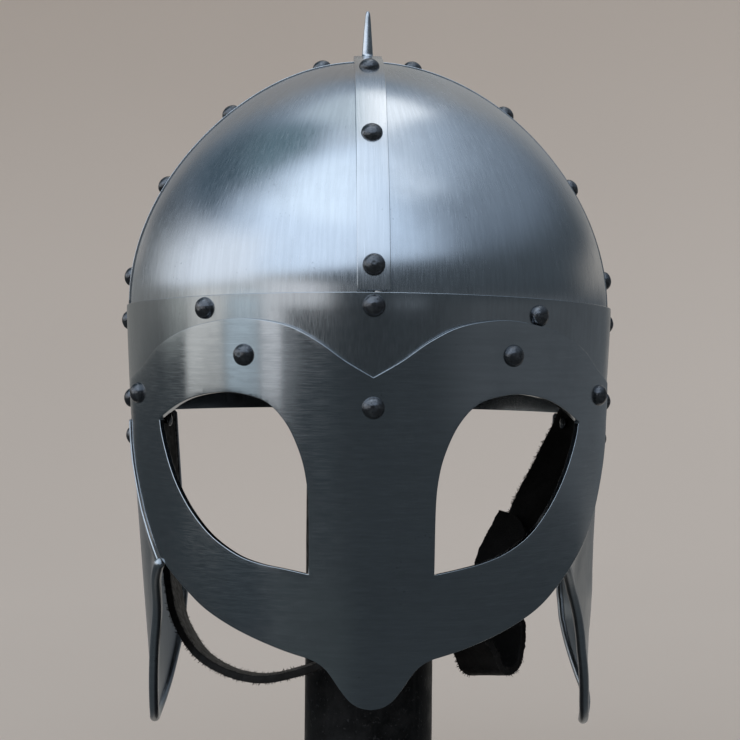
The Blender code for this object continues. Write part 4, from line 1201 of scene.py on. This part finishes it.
class HELMET_OT_cheeks(bpy.types.Operator):
    """Cut and hang the two cheek plates with their rolled edges"""

    bl_idname = "helmet.cheeks"
    bl_label = "Cheek Plates"

    def execute(self, context):
        size = in_mm()
        tone = tuple(context.scene.helmet_colours.cheek)
        steel = worked_steel("satin cheek steel", tone, 0.32, True, 0.4, brush=(0.5, 9.0), stain=0.5)
        heights = [CHEEK_TOP + (CHEEK_CORNER - CHEEK_TOP) * step / CHEEK_CUTS for step in range(CHEEK_CUTS)]
        for side, end in ((-1, "left"), (1, "right")):
            edge = smooth_run((CHEEK_CORNERS[side], *CHEEK_ROLL_EDGE), 10) + [Vector(CHEEK_ROLL_EDGE[-1])]
            angles = [guard_side_angle(side, height) - CHEEK_OVERLAP[side] for height in heights]
            cuts = [Vector(point) for point in zip(angles, heights)] + [edge[0]]
            front = [point for a, b in zip(cuts, cuts[1:]) for point in straight_run(a, b, 6)]
            top = straight_run((edge[-1].x, CHEEK_TOP), (front[0].x, CHEEK_TOP), 40)
            outline = [(PATTERN_SCALE * point.x, point.y) for point in front + edge + top]

            def bend(x, y, up, side=side):
                return cheek_point(size, side, x / PATTERN_SCALE, y, up - CHEEK_PLATE)

            mesh = cut_sheet("cheek_" + end, outline, [], CHEEK_PLATE, bend, CHEEK_PITCH, CHEEK_EDGE_ROUND)
            path = [bend(PATTERN_SCALE * p.x, p.y, CHEEK_PLATE / 2) for p in edge]
            roll = wire("roll_" + end, path, size.roll_radius, False, 18)
            bm = bmesh.new()
            bm.from_mesh(mesh)
            bm.from_mesh(roll)
            bm.to_mesh(mesh)
            bm.free()
            piece = show("fine_cheek_plate_" + end, mesh, steel, ["cheek_plate_" + end])
            steady_shading(piece)
        return {"FINISHED"}


class HELMET_OT_spike(bpy.types.Operator):
    """Turn the small spike on the crown"""

    bl_idname = "helmet.spike"
    bl_label = "Crown Spike"

    def execute(self, context):
        size = in_mm()
        low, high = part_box("crown_spike")
        tip = (high.z - AXIS.z) / MM
        foot = (low.z - AXIS.z) / MM
        seat = tip - SPIKE_LENGTH
        radius = size.spike_radius
        profile = [(wide, tip - down) for wide, down in SPIKE_TIP]
        blunt, rounded = SPIKE_TIP[-1]
        for step in range(1, SPIKE_STEPS + 1):
            down = step / SPIKE_STEPS
            wide = blunt + (radius - blunt) * down**0.85
            profile.append((wide, tip - rounded - (SPIKE_LENGTH - rounded) * down))
        profile += [(radius + 0.25, seat - 0.1), (radius + 0.3, seat - 1.3), (SHANK_RADIUS, seat - 1.45)]
        profile += [(SHANK_RADIUS, foot + PEEN_HEIGHT)]
        profile += [(PEEN_RADIUS, foot + PEEN_HEIGHT), (0.8 * PEEN_RADIUS, foot + 0.4), (0.0, foot)]

        def shape(point):
            bow = 0.16 * noise.noise(UP * point.z / 9.0)
            return point + Vector((bow, 0.0, 0.0)) * ease(share(point.z, (seat, tip)))

        mesh = revolve("spike", profile, 36, shape)
        steel = polished_steel("polished spike steel", tuple(context.scene.helmet_colours.spike))
        place = AXIS + Vector((CROWN_SHIFT * MM, 0.0, 0.0))
        show("fine_crown_spike", mesh, steel, ["crown_spike"], place)
        return {"FINISHED"}


class HELMET_OT_rivets(bpy.types.Operator):
    """Set the domed rivets, each with its shank and its peened end inside"""

    bl_idname = "helmet.rivets"
    bl_label = "Rivets"

    def execute(self, context):
        size = in_mm()
        steel = blackened_steel("blackened rivet steel", tuple(context.scene.helmet_colours.rivet))
        for number, (node, seat, normal, grip) in enumerate(rivet_places(size)):
            mesh = self.rivet(size, node + "_fine", grip, Vector((number * 7.3, number * 3.1, 0.0)))
            turn = normal.to_track_quat("Z", "X").to_matrix()
            turn = turn @ Matrix.Rotation(2.4 * number, 3, "Z")
            mesh.transform(turn.to_4x4())
            place = AXIS + (seat + normal * (SEAT_GAP - SEAT_SINK)) * MM
            show("fine_" + node, mesh, steel, [node], place)
        return {"FINISHED"}

    @staticmethod
    def rivet(size, name, grip, seed):
        """A hammered dome with a small flat on top. seed makes each one different."""
        radius, height = size.rivet_radius, size.rivet_height
        end = -grip - 2 * SEAT_GAP
        flat = 0.24 * radius
        profile = [(0.0, height - 0.10), (0.6 * flat, height - 0.10), (flat, height - 0.07)]
        for step in range(1, 15):
            turn = math.radians(15.0 + 75.0 * step / 14)
            profile.append((radius * math.sin(turn), height * math.cos(turn) ** 0.92))
        profile += [(radius * 0.995, -0.35), (0.9 * radius, -0.6), (SHANK_RADIUS, -0.6), (SHANK_RADIUS, end)]
        profile += [(0.96 * PEEN_RADIUS, end), (PEEN_RADIUS, end - 0.25), (0.8 * PEEN_RADIUS, end - 0.75)]
        profile += [(0.4 * PEEN_RADIUS, end - 1.0), (0.0, end - PEEN_HEIGHT)]

        def shape(point):
            if -1.0 < point.z < height - 0.2:
                dent = 0.16 * noise.noise((point + seed) / 1.9) + 0.22 * noise.noise((point + seed) / 5.0)
                reach = Vector((point.x, point.y, 0.0))
                return point - reach * (0.022 + 0.12 * dent) - UP * abs(dent) * 0.25
            if point.z < end + 0.1:
                return point * (1 + 0.03 * noise.noise((point + seed) / 1.6))
            return point

        return revolve(name, profile, 30, shape)


def strap_path(size, side, top_heights, rows, buckle_rows):
    """Centre points of a strap and the direction of its width at each of them."""
    up, across, inward = buckle_axes()
    centres, acrosses = [], []
    for height in top_heights:
        centre, outward = plan_point(size, side * HINGES["strap"][0], leather_face(height) - STRAP_THICK / 2)
        centre.z = height
        centres.append(centre)
        acrosses.append(side * outward.cross(UP))
    for x, y, z, turn, tilt in rows:
        level = math.cos(math.radians(tilt))
        centres.append(Vector((x, y, z)))
        acrosses.append(spin(turn) * level + UP * math.sin(math.radians(tilt)))
    for along, off, forward in buckle_rows:
        centres.append(BUCKLE_BAR + up * along + inward * off + across * forward)
        acrosses.append(across)
    return tuple(smooth_run(row, STRAP_STEPS) + [row[-1]] for row in (centres, acrosses))


def leather_strip(name, centres, acrosses, width, thickness, seed, tip=0):
    """A cut strip of leather with dry, uneven edges, slightly thicker and thinner along its run."""
    outline = rounded_section(width, thickness, LEATHER_EDGE_ROUND, 14)
    section = [(wide, high - thickness / 2) for wide, high in outline]

    def rough(point, wide, up, across):
        at = point + Vector((seed, 0.0, 0.0))
        near_edge = ease(1.0 - min(wide, width - wide) / LEATHER_RAGGED)
        ragged = 0.50 * noise.noise(at / 1.1) + 0.35 * noise.noise(at / 2.6)
        swell = 0.10 * noise.noise(at / 6.0) + 0.05 * noise.noise(at / 1.7)
        return across * (ragged * near_edge) + up * (swell - 0.12 * near_edge)

    return swept(name, centres, acrosses, section, width, rough, tip)


def loose_fibres(name, centres, acrosses, width, thickness, seed):
    """Short fibres that stand out of both cut edges of a strip: three-sided cones, bent once."""
    draw = random.Random(seed)
    turns = [math.radians(turn) for turn in (0.0, 120.0, 240.0)]
    points, faces, uvs = [], [], []
    for i in range(FIBRE_FIRST_STEP, int(FIBRE_RUN * len(centres))):
        along = (centres[i + 1] - centres[i - 1]).normalized()
        across = (acrosses[i] - acrosses[i].dot(along) * along).normalized()
        up = along.cross(across)
        pace = (centres[i + 1] - centres[i]).length
        for edge in (-1, 1):
            for _ in range(int(pace / FIBRE_SPACING + draw.random())):
                root = centres[i] + along * draw.uniform(0.0, pace)
                root += across * edge * (width / 2 - FIBRE_INSET)
                corner = draw.choice((-1.0, 1.0))
                root += up * corner * draw.uniform(0.30, 0.46) * thickness
                reach = across * edge * draw.uniform(0.1, 1.0) + along * draw.uniform(-0.8, 0.8) + up * corner
                reach = reach.normalized() * draw.uniform(0.3, 1.0) * draw.uniform(0.8, 1.8)
                curl = along * draw.uniform(-0.35, 0.35) + up * draw.uniform(-0.25, 0.25)
                side = reach.cross(along).normalized()
                other = side.cross(reach).normalized()
                start = len(points)
                for part, thick in FIBRE_TAPER:
                    middle = root + reach * part + curl * part * part
                    for turn in turns:
                        points.append(middle + (side * math.cos(turn) + other * math.sin(turn)) * thick)
                for ring in (start, start + 3):
                    for k, m in ((0, 1), (1, 2), (2, 0)):
                        faces.append([ring + k, ring + m, ring + 3 + m, ring + 3 + k])
                        uvs.append([(0.0, 0.0)] * 4)
                faces += [[start + 2, start + 1, start], [start + 6, start + 7, start + 8]]
                uvs += [[(0.0, 0.0)] * 3] * 2
    return finish_mesh(mesh_from(name, points, faces, uvs), weld=False)


class HELMET_OT_straps(bpy.types.Operator):
    """Cut the chin strap's two halves with their frayed edges"""

    bl_idname = "helmet.straps"
    bl_label = "Chin Strap"

    def execute(self, context):
        size = in_mm()
        tone = tuple(context.scene.helmet_colours.leather)
        leather = black_leather("black strap leather", tone)
        dry = black_leather("dry leather fibres", tinted(tone, 2.2), 0.3)
        routes = (
            ("chin_strap_long", -1, LONG_STRAP_TOP, LONG_STRAP, LONG_STRAP_IN_BUCKLE),
            ("chin_strap_short", 1, SHORT_STRAP_TOP, SHORT_STRAP, SHORT_STRAP_ROUND_BAR),
        )
        for seed, (name, side, top, rows, buckle) in enumerate(routes):
            centres, acrosses = strap_path(size, side, top, rows, buckle)
            tip = STRAP_TIP_STEPS if name == "chin_strap_long" else 0
            run = (centres, acrosses, size.strap_width, STRAP_THICK)
            mesh = leather_strip(name + "_fine", *run, 40.0 * seed, tip)
            show("fine_" + name, mesh, leather, [name])
            tufts = loose_fibres(name + "_tufts", *run, seed + 5)
            show("fibres_" + name, tufts, dry, [])
        return {"FINISHED"}


class HELMET_OT_tabs(bpy.types.Operator):
    """Cut the leather tabs that the cheek plates hang on"""

    bl_idname = "helmet.tabs"
    bl_label = "Hinge Tabs"

    def execute(self, context):
        size = in_mm()
        leather = black_leather("black tab leather", tuple(context.scene.helmet_colours.leather))
        for side, end in ((-1, "left"), (1, "right")):
            angle = side * HINGES["hinge"][0]
            centres, acrosses = [], []
            for height in TAB_HEIGHTS:
                centre, outward = plan_point(size, angle, leather_face(height) - TAB_THICK / 2)
                centre.z = height
                centres.append(centre)
                acrosses.append(outward.cross(UP))
            centres, acrosses = (smooth_run(row, TAB_STEPS) + [row[-1]] for row in (centres, acrosses))
            mesh = leather_strip("tab_" + end, centres, acrosses, TAB_WIDTH, TAB_THICK, 13.0 * side)
            show("fine_hinge_tab_" + end, mesh, leather, ["hinge_tab_" + end])
        return {"FINISHED"}


class HELMET_OT_buckle(bpy.types.Operator):
    """Bend the wire buckle of the chin strap"""

    bl_idname = "helmet.buckle"
    bl_label = "Buckle"

    def execute(self, context):
        up, across, _ = buckle_axes()
        points = []
        for first in (0, 90, 180, 270):
            middle = math.radians(first + 45)
            along = -BUCKLE_SPAN / 2 + math.copysign(BUCKLE_SPAN / 2 - BUCKLE_CORNER, math.cos(middle))
            sideways = math.copysign(BUCKLE_HALF_WIDTH - BUCKLE_CORNER, math.sin(middle))
            for turn in range(0, 91, 15):
                angle = math.radians(first + turn)
                at = up * (along + BUCKLE_CORNER * math.cos(angle))
                at += across * (sideways + BUCKLE_CORNER * math.sin(angle))
                points.append(BUCKLE_BAR + at)
        rounded = []
        for a, b in zip(points, points[1:] + points[:1]):
            parts = max(int((b - a).length / 1.5), 1)
            rounded += straight_run(a, b, parts)
        mesh = wire("buckle_wire", rounded, BUCKLE_WIRE_RADIUS, True, 16)
        steel = blackened_steel("dark buckle wire", tuple(context.scene.helmet_colours.rivet), 0.35)
        show("fine_strap_buckle", mesh, steel, ["strap_buckle"])
        return {"FINISHED"}


class HELMET_OT_stand(bpy.types.Operator):
    """Set the weathered iron post on its round plate"""

    bl_idname = "helmet.stand"
    bl_label = "Post Stand"

    def execute(self, context):
        iron = weathered_iron("weathered stand iron", tuple(context.scene.helmet_colours.iron))
        for node, splits in (("stand_post", 60), ("stand_base", 4)):
            low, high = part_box(node)
            middle = (low + high) / 2
            radius = (high.y - low.y) / 2 / MM
            bottom, top = low.z / MM, high.z / MM
            profile = [(0.0, top)] + [(radius * part, top) for part in (0.35, 0.7)]
            for turn in range(0, 91, 18):
                angle = math.radians(turn)
                wide = radius - STAND_BEVEL * (1 - math.sin(angle))
                profile.append((wide, top - STAND_BEVEL * (1 - math.cos(angle))))
            for split in range(1, splits + 1):
                down = (bottom + 0.4 - top + STAND_BEVEL) * split / splits
                profile.append((radius, top - STAND_BEVEL + down))
            profile += [(radius - 0.4, bottom), (0.5 * radius, bottom), (0.0, bottom)]

            def shape(point, radius=radius):
                if Vector((point.x, point.y, 0.0)).length < 0.6 * radius:
                    return point
                dent = 0.10 * noise.noise(point / 14.0) + 0.05 * noise.noise(point / 3.0)
                return point - spin(math.degrees(math.atan2(point.x, -point.y))) * (STAND_WEAR + dent)

            mesh = revolve(node + "_fine", profile, 96, shape)
            place = Vector((middle.x, middle.y, 0.0))
            show("fine_" + node, mesh, iron, [node], place)
        return {"FINISHED"}


# ---- Stage ----

ROOM_BELOW = (0.050, 0.060, 0.067)  # the room's shade below the lowest elevation
ROOM_HEIGHTS = (  # elevations between which the room changes to the next shade
    (0.0, 14.0, (0.074, 0.091, 0.105)),
    (17.5, 34.0, (0.20, 0.25, 0.31)),
    (30.0, 44.0, (0.26, 0.32, 0.39)),
    (47.0, 64.0, (0.53, 0.64, 0.77)),
    (62.0, 86.0, (0.88, 1.00, 1.14)),
)
ROOM_PANELS = (  # start, full, full and end of azimuth and of elevation, slope of the elevation, shade
    ((-230.0, -220.0, -156.0, -146.0), (-70.0, -50.0, 8.0, 14.0), 0.0, (0.37, 0.345, 0.32)),
    ((120.0, 148.0, 190.0, 200.0), (-70.0, -50.0, 8.0, 14.0), 0.0, (0.44, 0.42, 0.39)),
    ((-230.0, -220.0, -158.0, -148.0), (8.0, 14.0, 40.0, 50.0), 0.0, (0.31, 0.30, 0.29)),
    ((140.0, 160.0, 190.0, 200.0), (8.0, 14.0, 40.0, 50.0), 0.0, (0.36, 0.36, 0.35)),
    ((-200.0, -190.0, -150.0, -136.0), (55.0, 59.0, 91.0, 92.0), 0.0, (0.72, 0.84, 0.92)),
    ((138.0, 152.0, 190.0, 200.0), (57.0, 60.0, 91.0, 92.0), 0.0, (1.55, 1.62, 1.68)),
    ((-152.0, -112.0, -50.0, -18.0), (2.0, 5.0, 13.0, 20.0), 0.0, (0.58, 0.60, 0.59)),
    ((-12.0, 2.0, 14.0, 62.0), (20.5, 25.0, 91.0, 92.0), 0.06, (0.86, 1.04, 1.26)),
    ((-116.0, -66.0, -14.0, 16.0), (18.5, 22.5, 99.0, 101.0), 0.115, (1.07, 1.25, 1.47)),
    ((-84.0, -62.0, -20.0, 2.0), (40.0, 50.0, 74.0, 86.0), 0.0, (1.32, 1.52, 1.72)),
    ((14.0, 26.0, 50.0, 76.0), (54.0, 62.0, 78.0, 88.0), 0.0, (1.06, 1.20, 1.36)),
    ((-140.0, -96.0, -70.0, -60.0), (15.5, 20.0, 32.0, 46.0), 0.115, (1.16, 1.24, 1.34)),
    ((-148.0, -130.0, -106.0, -84.0), (42.0, 50.0, 66.0, 76.0), 0.0, (0.13, 0.22, 0.26)),
    ((-154.0, -136.0, -112.0, -98.0), (26.0, 32.0, 43.0, 50.0), 0.0, (0.05, 0.09, 0.12)),
    ((-176.0, -158.0, -118.0, -106.0), (-2.9, -1.5, 4.0, 7.0), 0.0, (0.20, 0.205, 0.20)),
    ((-122.0, -110.0, -101.0, -97.0), (-3.2, -2.2, 4.0, 7.0), 0.0, (0.46, 0.48, 0.46)),
    ((-104.0, -99.0, -80.0, -76.0), (-6.3, -5.4, 4.0, 7.0), 0.0, (0.93, 0.92, 0.88)),
    ((-79.0, -75.0, -61.0, -58.0), (-6.6, -5.8, 4.0, 7.0), 0.0, (0.72, 0.84, 0.91)),
    ((-60.0, -57.0, -49.0, -45.0), (-7.4, -6.3, 9.0, 12.0), 0.0, (1.03, 1.04, 1.06)),
    ((-49.0, -45.0, -43.0, -33.0), (-7.0, -5.4, -4.8, -3.6), 0.0, (0.44, 0.46, 0.48)),
    ((-49.0, -45.0, -30.0, -14.0), (-1.5, 0.3, 9.0, 12.0), 0.0, (0.96, 0.97, 0.99)),
    ((8.0, 15.0, 24.0, 32.0), (-1.0, 0.5, 3.0, 5.0), 0.0, (0.30, 0.34, 0.38)),
    ((-60.0, -46.0, -22.0, -2.0), (-100.0, -95.0, -14.0, -11.5), 0.0, (0.075, 0.090, 0.095)),
    ((20.0, 62.0, 150.0, 172.0), (-9.5, -6.5, 2.0, 7.0), 0.0, (0.115, 0.128, 0.140)),
)
SWEEP_RADIUS = 1600.0
SWEEP_COVE = 700.0
SWEEP_HEIGHT = 2600.0
CAMERA_SHIFT = (2.0 / 740.0, -15.0 / 740.0)  # shares of the picture's width
CAMERA_TURN = -0.9  # degrees off the front of the helmet
CAMERA_ROLL = 0.5


def sweep_mesh(name, radius, cove, height):
    """A round floor whose edge curves up into a wall, seen from inside."""
    profile = [(0.001, 0.0), (0.3 * radius, 0.0), (radius - cove, 0.0)]
    for turn in range(6, 91, 6):
        angle = math.radians(turn)
        profile.append((radius - cove + cove * math.sin(angle), cove * (1 - math.cos(angle))))
    profile.append((radius, height))
    return revolve(name, profile, 128)


class HELMET_OT_studio(bpy.types.Operator):
    """Lay the pale floor and sweep, light the studio and set the camera"""

    bl_idname = "helmet.studio"
    bl_label = "Studio"

    def execute(self, context):
        self.backdrop(context.scene)
        self.light(context.scene)
        self.camera(context.scene)
        context.scene.view_settings.view_transform = "Standard"
        return {"FINISHED"}

    @staticmethod
    def backdrop(scene):
        mesh = sweep_mesh("sweep", SWEEP_RADIUS, SWEEP_COVE, SWEEP_HEIGHT)
        sweep = bpy.data.objects.new("studio_sweep", mesh)
        scene.collection.objects.link(sweep)
        tone = tuple(scene.helmet_colours.backdrop)
        material, graph = new_material("pale studio paper")
        place = graph.add("TexCoord", output=3)
        mottle = graph.noise(place, 1.6, 2.0, 0.5)
        base = graph.blend(graph.level(mottle, 0.3, 0.7), tinted(tone, 0.985), tinted(tone, 1.015))
        surface(graph, base_color=base, roughness=0.9, emission_color=base, emission_strength=0.35)
        sweep.data.materials.append(material)
        sweep.visible_glossy = False
        sweep.visible_shadow = False

    @staticmethod
    def light(scene):
        """The room the metal sees: bright sky ahead and on the left, pale cards low down, and a dim floor."""
        world = bpy.data.worlds.new("studio_room")
        scene.world = world
        world.use_nodes = True
        graph = Graph(world.node_tree)
        ray = graph.add("TexCoord", output=0)
        parts = graph.add("SeparateXYZ", {"Vector": ray}, output=None).outputs
        ahead = graph.math("MULTIPLY", parts[1], -1.0)
        side = graph.math("DEGREES", graph.math("ARCTAN2", parts[0], ahead))
        climb = graph.math("DEGREES", graph.math("ARCSINE", parts[2]))
        tone = ROOM_BELOW
        for low, high, shade in ROOM_HEIGHTS:
            tone = graph.blend(graph.level(climb, low, high), tone, shade)
        for sides, climbs, slope, shade in ROOM_PANELS:
            tilted = graph.math("SUBTRACT", climb, graph.math("MULTIPLY", side, slope))
            mask = graph.math("MULTIPLY", graph.between(side, *sides), graph.between(tilted, *climbs))
            tone = graph.blend(mask, tone, shade)
        background = graph.add("Background", {"Color": tone, "Strength": scene.helmet_studio.sky})
        graph.add("OutputWorld", {"Surface": background}, output=None)

    @staticmethod
    def camera(scene):
        data = bpy.data.cameras.new("studio_camera")
        camera = bpy.data.objects.new("studio_camera", data)
        scene.collection.objects.link(camera)
        data.lens = scene.helmet_studio.focal_length
        data.sensor_width = 36.0
        data.shift_x, data.shift_y = CAMERA_SHIFT
        data.clip_start = 0.01
        level = Matrix.Rotation(math.radians(90.0), 4, "X")
        turn = Matrix.Rotation(math.radians(CAMERA_TURN), 4, "Z") @ level
        back = turn @ Vector((0.0, 0.0, scene.helmet_studio.distance))
        roll = Matrix.Rotation(math.radians(CAMERA_ROLL), 4, "Z")
        camera.matrix_world = Matrix.Translation(AXIS + back) @ turn @ roll
        scene.camera = camera


class HELMET_PT_panel(bpy.types.Panel):
    """Sizes, colours and pieces of the helmet"""

    bl_idname = "HELMET_PT_panel"
    bl_label = "Spectacle Helmet"
    bl_space_type = "VIEW_3D"
    bl_region_type = "UI"
    bl_category = "Helmet"

    def draw(self, context):
        scene = context.scene
        for group, source in (
            (scene.helmet_sizes, HelmetSizes),
            (scene.helmet_colours, HelmetColours),
            (scene.helmet_studio, StudioSettings),
        ):
            box = self.layout.box()
            for name in source.__annotations__:
                box.prop(group, name)
        for operator in OPERATORS:
            self.layout.operator(operator.bl_idname)


OPERATORS = (
    HELMET_OT_bowl,
    HELMET_OT_brow_band,
    HELMET_OT_bands,
    HELMET_OT_guard,
    HELMET_OT_cheeks,
    HELMET_OT_spike,
    HELMET_OT_rivets,
    HELMET_OT_straps,
    HELMET_OT_tabs,
    HELMET_OT_buckle,
    HELMET_OT_stand,
    HELMET_OT_studio,
)
CLASSES = (HelmetSizes, HelmetColours, StudioSettings, *OPERATORS, HELMET_PT_panel)


def register():
    for item in CLASSES:
        bpy.utils.register_class(item)
    bpy.types.Scene.helmet_sizes = bpy.props.PointerProperty(type=HelmetSizes)
    bpy.types.Scene.helmet_colours = bpy.props.PointerProperty(type=HelmetColours)
    bpy.types.Scene.helmet_studio = bpy.props.PointerProperty(type=StudioSettings)


def unregister():
    for name in ("helmet_sizes", "helmet_colours", "helmet_studio"):
        delattr(bpy.types.Scene, name)
    for item in reversed(CLASSES):
        bpy.utils.unregister_class(item)


def main():
    register()
    for operator in OPERATORS:
        group, name = operator.bl_idname.split(".")
        if getattr(getattr(bpy.ops, group), name)() != {"FINISHED"}:
            raise RuntimeError(f"{operator.bl_label} didn't finish")


if __name__ == "__main__":
    main()
